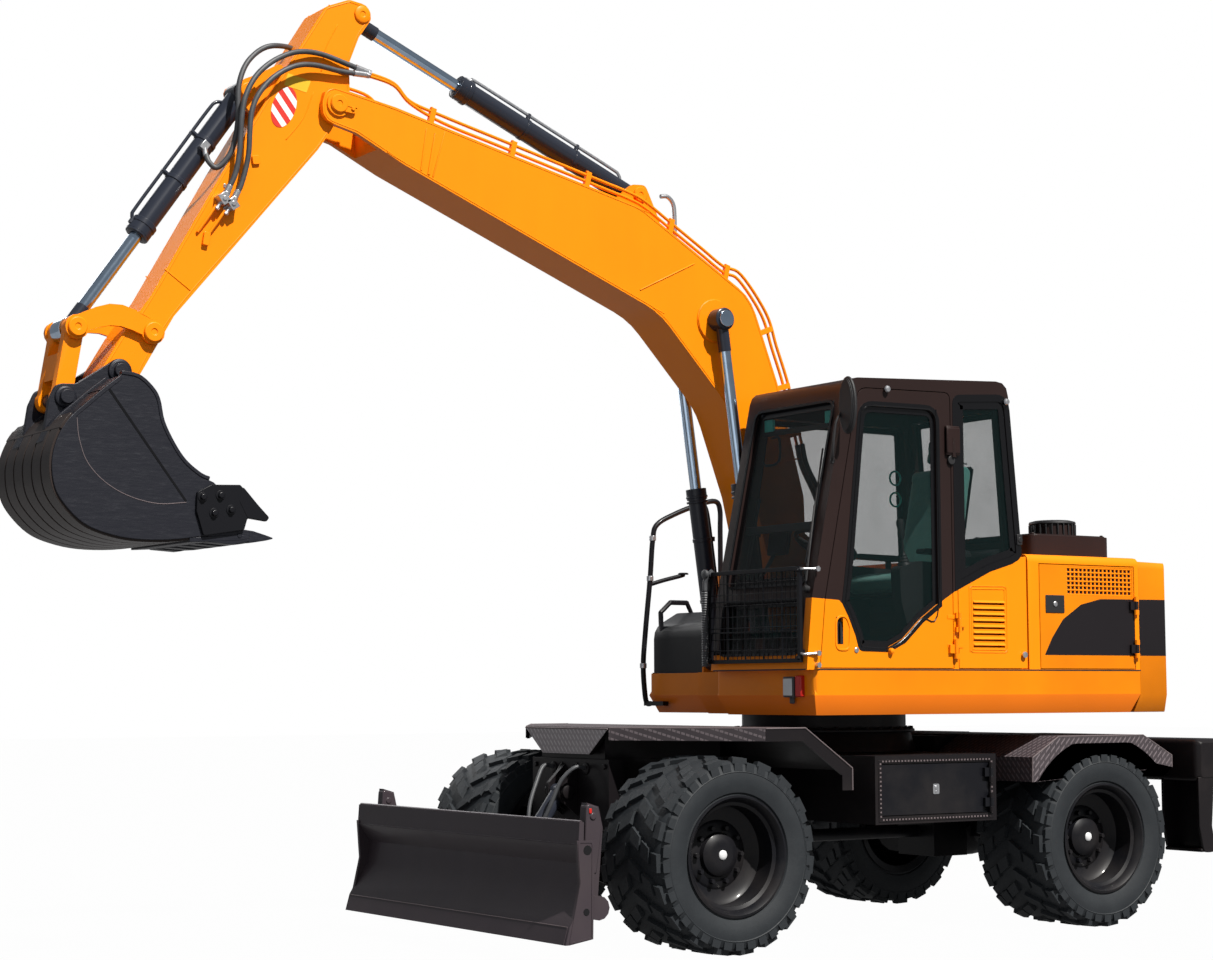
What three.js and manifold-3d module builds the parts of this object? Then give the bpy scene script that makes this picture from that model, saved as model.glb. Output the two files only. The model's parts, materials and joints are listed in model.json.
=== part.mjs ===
// Wheeled excavator: undercarriage with dozer blade, slewing upper structure and backhoe.
// Millimetres, +X forward, +Y left, +Z up. Pieces are laid out from the middle of the wheelbase at ground
// level, and the finished group is shifted so that its origin is under the middle of its bounding box.
import * as THREE from 'three';
import { mergeVertices } from 'three/addons/utils/BufferGeometryUtils.js';
import Module from 'manifold-3d';

const wasm = await Module();
wasm.setup();

// ---------------------------------------------------------------- driving dimensions
const seatGap = 0.3;          // between pieces that are bolted or rest on each other
const runningGap = 5;         // between pieces that move past each other
const pinPlay = 0.05;         // radial play between a pin's corners and the flats of its bore
const pinSides = 16;
const roundSides = 16;

const wheelbase = 2692;
const tyreRadius = 525;
const tyreWidth = 580;
const tyreFace = 1220;        // outer tyre wall from the centreline
const tyreSides = 28;
const beadRadius = 300;
const dishDepth = 150;        // hub face inside the outer tyre wall

const frameHalf = 330;        // half width of the chassis box
const frameBottom = 700;
const frameTop = 1020;
const frameRear = -2185;
const noseX = 1630;
const noseHalf = 400;
const fenderTop = 1195;
const rearFenderTop = 1125;
const sheet = 25;             // fender plate
const toolboxFace = 1180;

const kingpinY = 600;
const axleHeight = tyreRadius;

const swingX = -200;
const ringRadius = 500;
const deckBottom = 1262;
const deckTop = 1510;
const deckChamferTop = 1370;
const deckHalf = 1200;
const deckFront = 814;
const deckFrontRight = 262;
const deckFrontMiddle = 500;
const hoodTop = 2190;
const hoodFront = -775;
const splitX = -1680;         // joint between hood and counterweight
const tailRadius = 2085;
const skin = 40;              // doors and hood panels

const cabInner = 311;
const cabWall = 60;
const cabFloor = deckTop + seatGap + cabWall;      // inside, on the floor panel
const cabFrontLow = [866, deckTop + seatGap];
const cabFrontKnee = [825, 1906];
const cabRoofFront = [556, 3135];
const cabRoofRear = [-640, 3192];
const cabRearLow = [-765, deckTop + seatGap];
const doorFront = 95;         // door edge behind the cab's front edge
const doorRear = -192;
const glass = 6;

const boomHalf = 165;
const forkSlotHalf = 130;
const stickHalf = forkSlotHalf - runningGap;
const boomFoot = [200, 2250];
const boomEye = [715, 3575];
const boomRamBase = [430, 1582];
const boomRamY = 230;
const stickPivot = [3203, 4543];
const stickTail = [3040, 5070];
const armRamBase = [1200, 4290];
const bucketRamBase = [3700, 4560];
const rockerPivot = [4233, 3223];
const linkPin = [4637, 3219];
const bucketPivot = [4414, 3010];
const bucketLink = [4695, 2860];
const bucketHalf = 385;
const earGap = stickHalf + runningGap;

const bladePivot = [1690, 430];
const bladeRamBase = [1700, 837];
const bladeRamEye = [2090, 310];
const bladeHalf = 1207;

// ---------------------------------------------------------------- finishes
const finish = (color, roughness, metalness = 0) => (
  new THREE.MeshStandardMaterial({ color, roughness, metalness }));
const orange = finish(0xf08a0a, 0.4);
const cabBrown = finish(0x3a2c2c, 0.5);
const chassisGrey = finish(0x40363c, 0.55);
const black = finish(0x15151a, 0.6);
const rubber = finish(0x1a1d20, 0.85);
const bucketGrey = finish(0x24242e, 0.55, 0.2);
const ramGrey = finish(0x262a33, 0.4, 0.2);
const chrome = finish(0xc8d0da, 0.15, 1);
const tinted = finish(0x224444, 0.1);
tinted.transparent = true;
tinted.opacity = 0.4;
const fabric = finish(0x2f5f5a, 0.9);

// ---------------------------------------------------------------- solids
function solid(geometry) {
  geometry.deleteAttribute('normal');
  geometry.deleteAttribute('uv');
  const merged = mergeVertices(geometry, 1e-3);
  const vertProperties = new Float32Array(merged.attributes.position.array);
  const triVerts = new Uint32Array(merged.index.array);
  return new wasm.Manifold(new wasm.Mesh({ numProp: 3, vertProperties, triVerts }));
}
const join = (...solids) => solids.reduce((whole, piece) => whole.add(piece));
const cut = (whole, ...tools) => tools.reduce((rest, tool) => rest.subtract(tool), whole);

// An outline through corners [a, b, radius], where the radius rounds that corner.
function outline(corners) {
  const shape = new THREE.Shape();
  const count = corners.length;
  corners.forEach(([a, b, radius = 0], i) => {
    const before = corners[(i + count - 1) % count];
    const after = corners[(i + 1) % count];
    const back = new THREE.Vector2(before[0] - a, before[1] - b).normalize();
    const ahead = new THREE.Vector2(after[0] - a, after[1] - b).normalize();
    const halfAngle = Math.acos(THREE.MathUtils.clamp(back.dot(ahead), -1, 1)) / 2;
    const reach = radius / Math.tan(halfAngle);
    const from = [a + back.x * reach, b + back.y * reach];
    if (i === 0) shape.moveTo(...from);
    else shape.lineTo(...from);
    if (radius) shape.quadraticCurveTo(a, b, a + ahead.x * reach, b + ahead.y * reach);
  });
  shape.closePath();
  return shape;
}

// The same corners moved inwards by a distance, or outwards where it is negative.
function inset(corners, distance) {
  const turn = corners.reduce((sum, [a, b], i) => {
    const [c, d] = corners[(i + 1) % corners.length];
    return sum + a * d - c * b;
  }, 0);
  const inward = turn > 0 ? distance : -distance;
  const count = corners.length;
  return corners.map(([a, b, radius = 0], i) => {
    const p = new THREE.Vector2(...corners[(i + count - 1) % count]);
    const q = new THREE.Vector2(a, b);
    const r = new THREE.Vector2(...corners[(i + 1) % count]);
    const u = q.clone().sub(p).normalize();
    const v = r.clone().sub(q).normalize();
    const n = new THREE.Vector2(-u.y, u.x).add(new THREE.Vector2(-v.y, v.x));
    n.multiplyScalar(inward / (1 + u.dot(v)));
    return [a + n.x, b + n.y, Math.max(radius - distance, 0)];
  });
}

const extrude = (corners, depth, options = {}) => new THREE.ExtrudeGeometry(
  outline(corners), { depth, bevelEnabled: false, curveSegments: 3, ...options });

// Corners are [x, z] and the plate runs from y = low to y = high.
function sidePlate(corners, low, high) {
  const geometry = extrude(corners, high - low);
  geometry.rotateX(Math.PI / 2);
  geometry.translate(0, high, 0);
  return solid(geometry);
}
// Corners are [x, y] and the plate runs from z = low to z = high.
function flatPlate(corners, low, high) {
  const geometry = extrude(corners, high - low);
  geometry.translate(0, 0, low);
  return solid(geometry);
}
// Corners are [y, z] and the plate runs from x = low to x = high.
function crossPlate(corners, low, high) {
  const geometry = extrude(corners, high - low);
  const axes = [new THREE.Vector3(0, 1, 0), new THREE.Vector3(0, 0, 1), new THREE.Vector3(1, 0, 0)];
  geometry.applyMatrix4(new THREE.Matrix4().makeBasis(...axes));
  geometry.translate(low, 0, 0);
  return solid(geometry);
}
function box([x0, x1], [y0, y1], [z0, z1]) {
  const geometry = new THREE.BoxGeometry(x1 - x0, y1 - y0, z1 - z0);
  geometry.translate((x0 + x1) / 2, (y0 + y1) / 2, (z0 + z1) / 2);
  return solid(geometry);
}
// A round bar between two points.
function bar(from, to, radius, sides = roundSides, endRadius = radius) {
  const a = new THREE.Vector3(...from);
  const b = new THREE.Vector3(...to);
  const geometry = new THREE.CylinderGeometry(endRadius, radius, a.distanceTo(b), sides);
  const along = b.clone().sub(a).normalize();
  geometry.applyQuaternion(new THREE.Quaternion().setFromUnitVectors(new THREE.Vector3(0, 1, 0), along));
  geometry.translate((a.x + b.x) / 2, (a.y + b.y) / 2, (a.z + b.z) / 2);
  return solid(geometry);
}
const crossBar = ([x, z], radius, low, high, sides = pinSides) => bar([x, low, z], [x, high, z], radius, sides);
const boreRadius = (radius, count = pinSides) => radius / Math.cos(Math.PI / count) + pinPlay;
const bore = (centre, radius, low, high) => crossBar(centre, boreRadius(radius), low, high);
// A rail of round tube through points, with ball corners.
function rail(points, radius, sides = 6) {
  const pieces = points.slice(1).map((point, i) => bar(points[i], point, radius, sides));
  const balls = points.slice(1, -1).map(([x, y, z]) => {
    const ball = new THREE.SphereGeometry(radius * 1.02, sides, 4);
    ball.translate(x, y, z);
    return solid(ball);
  });
  return join(...pieces, ...balls);
}
// A ring or disc turned about a line along Y; profile points are [radius, y], with y away from the centreline.
function turned(profile, [x, z], y, side, sides) {
  const points = profile.map(([radius, height]) => new THREE.Vector2(radius, height));
  const geometry = new THREE.LatheGeometry(points, sides, Math.PI / sides);
  if (side < 0) geometry.rotateZ(Math.PI);
  geometry.translate(x, side * y, z);
  return solid(geometry);
}

// An upright butt hinge on one side of the machine: the fixed half holds the pin, the moving half turns on it.
// The moving leaf reaches from the pin line towards +X or -X and stands on a face at childFace.
const hingeRadius = 13;
const hingeOut = 16;
const hingePin = 7;
const hingeSides = 8;
const between = (a, b) => [Math.min(a, b), Math.max(a, b)];
function hinge(x, z, side, towards, fixedFace, childFace) {
  const y = side * (fixedFace + hingeOut);
  const upright = (low, high, radius) => bar([x, y, z + low], [x, y, z + high], radius, hingeSides);
  const leaf = (reach, face, low, high) => join(
    box(between(x, x + reach), span(side, fixedFace + 4, fixedFace + 16), [z + low, z + high]),
    box(between(x + reach * 0.3, x + reach), span(side, face - 2, fixedFace + 16), [z + low, z + high]),
  );
  const fixed = [[-55, -25 - seatGap], [25 + seatGap, 55]].map(([low, high]) => join(
    upright(low, high, hingeRadius), leaf(-towards * 24, fixedFace, low, high)));
  const moving = cut(join(upright(-25, 25, hingeRadius), leaf(towards * 45, childFace, -25, 25)),
    upright(-60, 60, boreRadius(hingePin, hingeSides)));
  return { fixed: join(...fixed, upright(-50, 50, hingePin)), moving };
}
const hinges = (x, levels, side, towards, fixedFace, childFace = fixedFace) => {
  const pairs = levels.map((z) => hinge(x, z, side, towards, fixedFace, childFace));
  return { fixed: pairs.map((pair) => pair.fixed), moving: pairs.map((pair) => pair.moving) };
};

const group = new THREE.Group();
function add(name, piece, material) {
  const { vertProperties, triVerts, numProp } = piece.getMesh();
  const geometry = new THREE.BufferGeometry();
  const position = new THREE.InterleavedBuffer(vertProperties, numProp);
  geometry.setAttribute('position', new THREE.InterleavedBufferAttribute(position, 3, 0));
  geometry.setIndex([...triVerts]);
  const mesh = new THREE.Mesh(geometry, material);
  mesh.name = name;
  group.add(mesh);
}
const sides = [['left', 1], ['right', -1]];
// The span between two distances from the centreline, on one side of the machine.
const span = (side, near, far) => (side > 0 ? [near, far] : [-far, -near]);

// ---------------------------------------------------------------- wheels
const frontAxleX = wheelbase / 2;
const rearAxleX = -wheelbase / 2;
const wheelMiddle = tyreFace - tyreWidth / 2;
const hubFace = tyreFace - dishDepth - wheelMiddle;
const discInner = hubFace - 90;
const hubSeat = wheelMiddle + discInner - seatGap;

function tyre(x, side) {
  const half = tyreWidth / 2;
  const tread = tyreRadius / Math.cos(Math.PI / tyreSides);
  const outerWall = [
    [beadRadius, half - 25], [beadRadius + 22, half - 25], [beadRadius + 35, half - 8], [tread - 95, half],
    [tread - 25, half - 15], [tread, half - 50],
  ];
  const innerWall = outerWall.map(([radius, y]) => [radius, -y]);
  const profile = [...innerWall, ...outerWall.reverse(), innerWall[0]];
  return turned(profile, [x, axleHeight], wheelMiddle, side, tyreSides);
}

function rim(x, side) {
  const half = tyreWidth / 2 - 25;
  const barrel = beadRadius - seatGap;
  const lip = beadRadius + 20;
  const profile = [
    [0, discInner], [barrel - 25, discInner], [barrel - 25, -half], [lip, -half - 12], [lip, -half - seatGap],
    [barrel, -half - seatGap], [barrel, half + seatGap], [lip, half + seatGap], [lip, half + 12],
    [barrel - 25, half - 20], [barrel - 30, discInner + 25], [130, discInner + 25], [85, hubFace], [0, hubFace],
  ];
  return turned(profile, [x, axleHeight], wheelMiddle, side, tyreSides);
}

for (const [end, x] of [['front', frontAxleX], ['rear', rearAxleX]]) {
  for (const [word, side] of sides) {
    add(`tyre_${end}_${word}`, tyre(x, side), rubber);
    add(`rim_${end}_${word}`, rim(x, side), black);
  }
}

// ---------------------------------------------------------------- axles and steering
const drumRadius = 180;
const beamRadius = 92;
const kingpinRadius = 25;
const forkInner = 115;        // fork plates above and below the axle line
const forkPlate = 35;

function differential(x) {
  const bowl = new THREE.SphereGeometry(175, 14, 8);
  bowl.scale(1, 0.95, 0.95);
  bowl.translate(x, 0, axleHeight);
  return solid(bowl);
}
const axleSaddle = (x) => box([x - 110, x + 110], [-240, 240], [axleHeight + 40, frameBottom - seatGap]);

function frontAxle() {
  const x = frontAxleX;
  const beamEnd = kingpinY - 90;
  const parts = [
    bar([x, -beamEnd, axleHeight], [x, beamEnd, axleHeight], beamRadius, pinSides),
    differential(x), axleSaddle(x),
  ];
  for (const [, side] of sides) {
    for (const level of [1, -1]) {
      const [z0, z1] = level > 0 ? [forkInner, forkInner + forkPlate] : [-forkInner - forkPlate, -forkInner];
      const z = [axleHeight + z0, axleHeight + z1];
      parts.push(box([x - 60, x + 60], span(side, beamEnd - 60, kingpinY + 50), z));
    }
    const web = [axleHeight - forkInner - 10, axleHeight + forkInner + 10];
    parts.push(box([x - 60, x + 60], span(side, beamEnd - 60, beamEnd), web));
  }
  const steeringRam = [
    bar([x - 150, -330, axleHeight + 82], [x - 150, 330, axleHeight + 82], 38, pinSides),
    box([x - 190, x - 60], [-90, 90], [axleHeight + 65, axleHeight + 105]),
  ];
  const holes = sides.map(([, side]) => bar([x, side * kingpinY, axleHeight - 200],
    [x, side * kingpinY, axleHeight + 200], boreRadius(kingpinRadius), pinSides));
  return cut(join(...parts, ...steeringRam), ...holes);
}

function knuckle(side) {
  const x = frontAxleX;
  const y = side * kingpinY;
  const reach = forkInner - runningGap;
  const pinReach = forkInner + forkPlate - seatGap;
  return join(
    bar([x, y, axleHeight - reach], [x, y, axleHeight + reach], 72, pinSides),
    bar([x, y, axleHeight - pinReach], [x, y, axleHeight + pinReach], kingpinRadius, pinSides),
    bar([x, y, axleHeight], [x, side * (kingpinY + 110), axleHeight], 70, pinSides),
    bar([x, side * (kingpinY + 105), axleHeight], [x, side * hubSeat, axleHeight], drumRadius, roundSides),
  );
}

function rearAxle() {
  const x = rearAxleX;
  const drums = sides.map(([, side]) => bar([x, side * (kingpinY + 80), axleHeight],
    [x, side * hubSeat, axleHeight], drumRadius, roundSides));
  const gearbox = box([x + 150, x + 420], [-170, 170], [axleHeight - 150, axleHeight + 90]);
  const shaft = bar([x + 400, 0, axleHeight], [frontAxleX - 176, 0, axleHeight], 38, pinSides);
  const joint = bar([0, 0, axleHeight], [160, 0, axleHeight], 60, pinSides);
  return join(bar([x, -700, axleHeight], [x, 700, axleHeight], beamRadius, pinSides), ...drums,
    differential(x), axleSaddle(x), gearbox, shaft, joint);
}

add('front_axle', frontAxle(), black);
add('rear_axle', rearAxle(), black);
for (const [word, side] of sides) add(`knuckle_${word}`, knuckle(side), black);
// ---------------------------------------------------------------- chassis
const ringBottom = deckBottom - 85;
const towerBottom = frameTop + 16;
const bladeEarNear = 270;
const bladeArmNear = 300;
const bladeArmFar = 360;

function chassisFrame() {
  const girder = box([frameRear, noseX - 60], [-frameHalf, frameHalf], [frameBottom, frameTop]);
  const nose = box([noseX - 100, noseX], [-noseHalf, noseHalf], [330, frameTop]);
  const noseDeck = box([noseX - 260, noseX], [-frameHalf, frameHalf], [frameBottom, frameTop]);
  const plinth = box([swingX - 330, swingX + 330], [-frameHalf, frameHalf], [frameTop - 5, towerBottom + 5]);
  const tower = bar([swingX, 0, towerBottom], [swingX, 0, ringBottom], ringRadius + 60, roundSides,
    ringRadius + 20);
  const ring = bar([swingX, 0, ringBottom - 5], [swingX, 0, deckBottom - seatGap], ringRadius, roundSides);
  const ramEars = [45, -75].map((y) => sidePlate([
    [noseX - 10, 720], [bladeRamBase[0] + 45, bladeRamBase[1] - 45, 30],
    [bladeRamBase[0] + 45, bladeRamBase[1] + 45, 40], [noseX - 10, 1000],
  ], y, y + 30));
  const armEars = sides.flatMap(([, side]) => [
    span(side, bladeEarNear, bladeArmNear - runningGap),
    span(side, bladeArmFar + runningGap, noseHalf - 10),
  ]).map(([low, high]) => sidePlate([
    [noseX - 10, 335], [bladePivot[0] + 50, bladePivot[1] - 50, 40],
    [bladePivot[0] + 50, bladePivot[1] + 50, 40], [noseX - 10, 540],
  ], low, high));
  const armHoles = bore(bladePivot, 25, -noseHalf, noseHalf);
  const ramPin = crossBar(bladeRamBase, 25, -90, 90);
  return cut(join(girder, nose, noseDeck, plinth, tower, ring, ...ramEars, ramPin, ...armEars), armHoles);
}

// A band that follows a line of [x, z] points and lies below it by a depth.
function band(line, depth) {
  const normals = line.slice(1).map(([x, z], i) => {
    const along = new THREE.Vector2(x - line[i][0], z - line[i][1]).normalize();
    return new THREE.Vector2(along.y, -along.x);
  });
  const under = line.map(([x, z], i) => {
    const before = normals[Math.max(i - 1, 0)];
    const after = normals[Math.min(i, normals.length - 1)];
    const mitre = before.clone().add(after).multiplyScalar(depth / (1 + before.dot(after)));
    return [x + mitre.x, z + mitre.y];
  });
  return [...line, ...under.reverse()];
}
// Fenders are one bent plate across the chassis, with a skirt down each side and a box that seats them.
function fenders(line, skirtDepth, [boxRear, boxFront]) {
  const top = Math.max(...line.map(([, z]) => z));
  const plates = join(
    sidePlate(band(line, sheet), -deckHalf, deckHalf),
    sidePlate(band(line, skirtDepth), deckHalf - 15, deckHalf),
    sidePlate(band(line, skirtDepth), -deckHalf, 15 - deckHalf),
    box([boxRear, boxFront], [-frameHalf, frameHalf], [frameTop, top - 5]),
  );
  const girderRoom = frameHalf + seatGap;
  return cut(plates, box([boxRear - 400, boxFront + 400], [-girderRoom, girderRoom], [500, frameTop + seatGap]));
}

const fenderTip = noseX + 20;
const stepHalf = 435;
const fenderCorner = 1150;    // where the front fenders start to narrow towards the step
const frontFenderLine = [[558, 853], [558, 973], [881, fenderTop], [fenderTip, fenderTop]];
const rearFenderLine = [
  [-1930, 930], [-1930, 1001], [-1690, rearFenderTop], [-995, rearFenderTop], [-785, 1005], [-781, 865],
];

// The front fenders narrow towards a tapered tread plate that hangs from their front edge.
function frontFenders() {
  const plates = fenders(frontFenderLine, 70, [820, noseX - 20]);
  const corners = sides.map(([, side]) => flatPlate([
    [fenderCorner, side * deckHalf], [fenderTip, side * stepHalf],
    [fenderTip + 50, side * stepHalf], [fenderTip + 50, side * (deckHalf + 50)],
    [fenderCorner, side * (deckHalf + 50)],
  ], frameTop, fenderTop + 50));
  const wings = sides.map(([, side]) => flatPlate([
    [fenderCorner, side * deckHalf], [fenderTip, side * stepHalf],
    [fenderTip - 18, side * stepHalf], [fenderCorner - 18, side * deckHalf],
  ], fenderTop - 70, fenderTop));
  const step = crossPlate([
    [-stepHalf, fenderTop - 5], [stepHalf, fenderTop - 5], [245, 1045], [-245, 1045],
  ], noseX + 1, noseX + 26);
  return join(cut(plates, ...corners), ...wings, step);
}

add('chassis_frame', chassisFrame(), chassisGrey);
add('front_fenders', frontFenders(), chassisGrey);
add('rear_fenders', fenders(rearFenderLine, 75, [-1880, -800]), chassisGrey);

const lidX = [-462, 327];
const lidHinges = (side) => hinges(lidX[0] - 2.5, [760, 930], side, 1, toolboxFace, toolboxFace - 5);
function toolbox(side) {
  const shell = box([-517, 380], span(side, frameHalf + seatGap, toolboxFace), [656, 1034]);
  const recess = box([lidX[0] - runningGap, lidX[1] + runningGap], span(side, toolboxFace - 25, toolboxFace + 10),
    [700, 990]);
  return join(cut(shell, recess), ...lidHinges(side).fixed);
}
function toolboxDoor(side) {
  const panel = box(lidX, span(side, toolboxFace - 20, toolboxFace - 5), [700 + runningGap, 990 - runningGap]);
  return join(panel, ...lidHinges(side).moving);
}
for (const [word, side] of sides) {
  add(`toolbox_${word}`, toolbox(side), chassisGrey);
  add(`toolbox_door_${word}`, toolboxDoor(side), black);
}

function rearBeam() {
  const front = frameRear - seatGap;
  const beam = sidePlate([[front, 830], [-2480, 830, 40], [-2480, 1100, 40], [front, 1100]], -1180, 1180);
  const steps = sides.map(([, side]) => {
    const hanger = box([-2345, front], span(side, 860, 1175), [400, 840]);
    const tread = box([-2400, -2230], span(side, 880, 1155), [430, 700]);
    return cut(hanger, tread);
  });
  return join(beam, ...steps, box([-2560, -2470], [-90, 90], [850, 1000]));
}
add('rear_beam', rearBeam(), chassisGrey);

// ---------------------------------------------------------------- rams
// A ram lies in the XZ plane from its base pin to its rod eye. The rod keeps its overlap at full reach, and the
// bore is deep enough for its whole retraction.
function ram({
  base, eye, y, barrelRadius, rodRadius, barrelLength, out, back, baseHalf, eyeHalf, eyeRadius, pinRadius,
}) {
  const [bx, bz] = base;
  const length = Math.hypot(eye[0] - bx, eye[1] - bz);
  const along = [(eye[0] - bx) / length, (eye[1] - bz) / length];
  const at = (distance) => [bx + along[0] * distance, y, bz + along[1] * distance];
  const rodStart = barrelLength - 100 - out;
  const boreStart = rodStart - back - 10;
  const tubeStart = eyeRadius * 0.6;
  const barrel = cut(
    join(
      crossBar(base, eyeRadius, y - baseHalf, y + baseHalf, roundSides),
      bar(at(tubeStart), at(barrelLength), barrelRadius, roundSides),
      bar(at(barrelLength - 55), at(barrelLength + 12), barrelRadius + 8, roundSides),
    ),
    bar(at(boreStart), at(barrelLength + 20), rodRadius + pinPlay, roundSides),
    ...(pinRadius ? [bore(base, pinRadius, y - baseHalf - 5, y + baseHalf + 5)] : []),
  );
  const rod = join(
    bar(at(rodStart), at(length - eyeRadius * 0.5), rodRadius, roundSides),
    crossBar(eye, eyeRadius, y - eyeHalf, y + eyeHalf, roundSides),
  );
  return { barrel, rod };
}

// ---------------------------------------------------------------- dozer blade
function dozerBlade() {
  const face = [
    [2340, 736], [2348, 620], [2275, 520], [2290, 400], [2400, 215], [2425, 125],
    [2398, 125], [2374, 205], [2262, 395], [2245, 520], [2316, 632], [2313, 736],
  ];
  const moldboard = sidePlate(face, -bladeHalf, bladeHalf);
  const cheeks = sides.map(([, side]) => sidePlate(
    [[2403, 125], [2259, 148], [2252, 641], [2356, 645], [2339, 429]], ...span(side, bladeHalf - 20, bladeHalf)));
  const tube = bar([2215, -bladeHalf + 10, 300], [2215, bladeHalf - 10, 300], 62, 12);
  const ribs = [-900, -500, 500, 900].map((y) => sidePlate(
    [[2180, 250], [2385, 160], [2262, 400], [2250, 520], [2320, 640], [2290, 640], [2190, 500]], y - 10, y + 10));
  const arms = sides.map(([, side]) => sidePlate([
    [bladePivot[0] - 45, bladePivot[1] - 45, 40], [2180, 220], [2290, 200], [2275, 450], [2180, 400],
    [bladePivot[0] - 45, bladePivot[1] + 50, 40],
  ], ...span(side, bladeArmNear, bladeArmFar)));
  const pins = sides.map(([, side]) => crossBar(bladePivot, 25, ...span(side, bladeEarNear + 2, noseHalf - 12)));
  const lugs = [[50, 78], [-78, -50]].map(([low, high]) => sidePlate([
    [bladeRamEye[0] - 45, bladeRamEye[1] - 45, 40], [2230, 245], [2230, 355],
    [bladeRamEye[0] - 45, bladeRamEye[1] + 45, 40],
  ], low, high));
  const brackets = sides.map(([, side]) => sidePlate([
    [2262, 480], [2258, 640], [2246, 829], [2176, 808], [2150, 700], [2185, 300],
  ], ...span(side, 1080, 1130)));
  return join(moldboard, ...cheeks, tube, ...ribs, ...arms, ...pins, ...lugs, ...brackets);
}
add('dozer_blade', dozerBlade(), chassisGrey);
const bladeRam = ram({
  base: bladeRamBase, eye: bladeRamEye, y: 0, barrelRadius: 45, rodRadius: 25, barrelLength: 430,
  out: 80, back: 140, baseHalf: 40, eyeHalf: 44, eyeRadius: 42, pinRadius: 25,
});
add('blade_ram_barrel', bladeRam.barrel, ramGrey);
add('blade_ram_rod', bladeRam.rod, chrome);

// ---------------------------------------------------------------- upper frame
const deckPlan = [
  [deckFront, deckHalf, 40], [splitX, deckHalf], [splitX, -deckHalf], [deckFrontRight, -deckHalf, 40],
  [deckFrontRight, -frameHalf], [deckFrontMiddle, -frameHalf], [deckFrontMiddle, cabInner - 11],
  [deckFront, cabInner - 11, 20],
];
const chamfer = 45;
const footEarInner = boomHalf + runningGap;
const footEarPlate = 35;
const ramEyeHalf = 56;

function bevelled(plan, low, high, chamferTop) {
  const slab = flatPlate(plan, chamferTop, high);
  const depth = chamferTop - low;
  const lozenge = extrude(inset(plan, chamfer), 2, {
    bevelEnabled: true, bevelThickness: depth, bevelSize: chamfer, bevelSegments: 1,
  });
  lozenge.translate(0, 0, chamferTop);
  return slab.add(solid(lozenge));
}

function upperFrame() {
  const deck = bevelled(deckPlan, deckBottom, deckTop - seatGap, deckChamferTop);
  const footEars = sides.map(([, side]) => sidePlate([
    [-520, deckTop - 20], [350, deckTop - 20], [360, 1950], [boomFoot[0] + 140, boomFoot[1] + 40, 60],
    [boomFoot[0], boomFoot[1] + 170, 90], [boomFoot[0] - 150, boomFoot[1] + 60, 80],
  ], ...span(side, footEarInner, footEarInner + footEarPlate)));
  const footPin = crossBar(boomFoot, 45, -footEarInner - footEarPlate - 12, footEarInner + footEarPlate + 12);
  const ramLug = (low, high) => sidePlate([
    [boomRamBase[0] - 58, deckTop - 20], [boomRamBase[0] + 58, deckTop - 20],
    [boomRamBase[0] + 50, boomRamBase[1] + 50, 40], [boomRamBase[0] - 50, boomRamBase[1] + 50, 40],
  ], low, high);
  const lugs = sides.flatMap(([, side]) => [
    ramLug(...span(side, boomRamY - ramEyeHalf - runningGap - 14, boomRamY - ramEyeHalf - runningGap)),
    ramLug(...span(side, boomRamY + ramEyeHalf + runningGap, boomRamY + ramEyeHalf + runningGap + 14)),
  ]);
  const ramPins = bore(boomRamBase, 32, -320, 320);
  return cut(join(deck, ...footEars, footPin, ...lugs), ramPins);
}
add('upper_frame', upperFrame(), orange);

function counterweight() {
  const corner = Math.sqrt(tailRadius ** 2 - deckHalf ** 2);
  const plan = new THREE.Shape();
  const edge = Math.atan2(deckHalf, -corner);
  plan.moveTo(splitX - seatGap, deckHalf);
  plan.lineTo(swingX - corner, deckHalf);
  plan.absarc(swingX, 0, tailRadius, edge, 2 * Math.PI - edge, false);
  plan.lineTo(splitX - seatGap, -deckHalf);
  plan.closePath();
  const tail = swingX - tailRadius;
  const block = new THREE.ExtrudeGeometry(plan, {
    depth: hoodTop - 20 - deckBottom, bevelEnabled: false, curveSegments: 9,
  });
  block.translate(0, 0, deckBottom);
  const section = sidePlate([
    [splitX, deckBottom], [tail + 140, deckBottom], [tail - 5, 1480, 60], [tail - 5, 2000, 120],
    [tail + 150, hoodTop - 30, 120], [splitX, hoodTop - 20],
  ], -deckHalf - 5, deckHalf + 5);
  const shoulders = crossPlate([
    [-deckHalf - 1, deckChamferTop], [-deckHalf + 60, deckBottom], [deckHalf - 60, deckBottom],
    [deckHalf + 1, deckChamferTop], [deckHalf + 1, hoodTop - 10, 60], [-deckHalf - 1, hoodTop - 10, 60],
  ], tail - 20, splitX + 5);
  return solid(block).intersect(section).intersect(shoulders);
}
add('counterweight', counterweight(), orange);

// ---------------------------------------------------------------- engine bay
const bayRear = splitX + seatGap;
const doorBottom = deckTop + 12;
const engineDoorX = [-1640, -868];
const engineDoorTop = 2132;
const engineDoorHinges = (side) => hinges(engineDoorX[0] - 2.5, [1640, 1900], side, 1, deckHalf);

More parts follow.
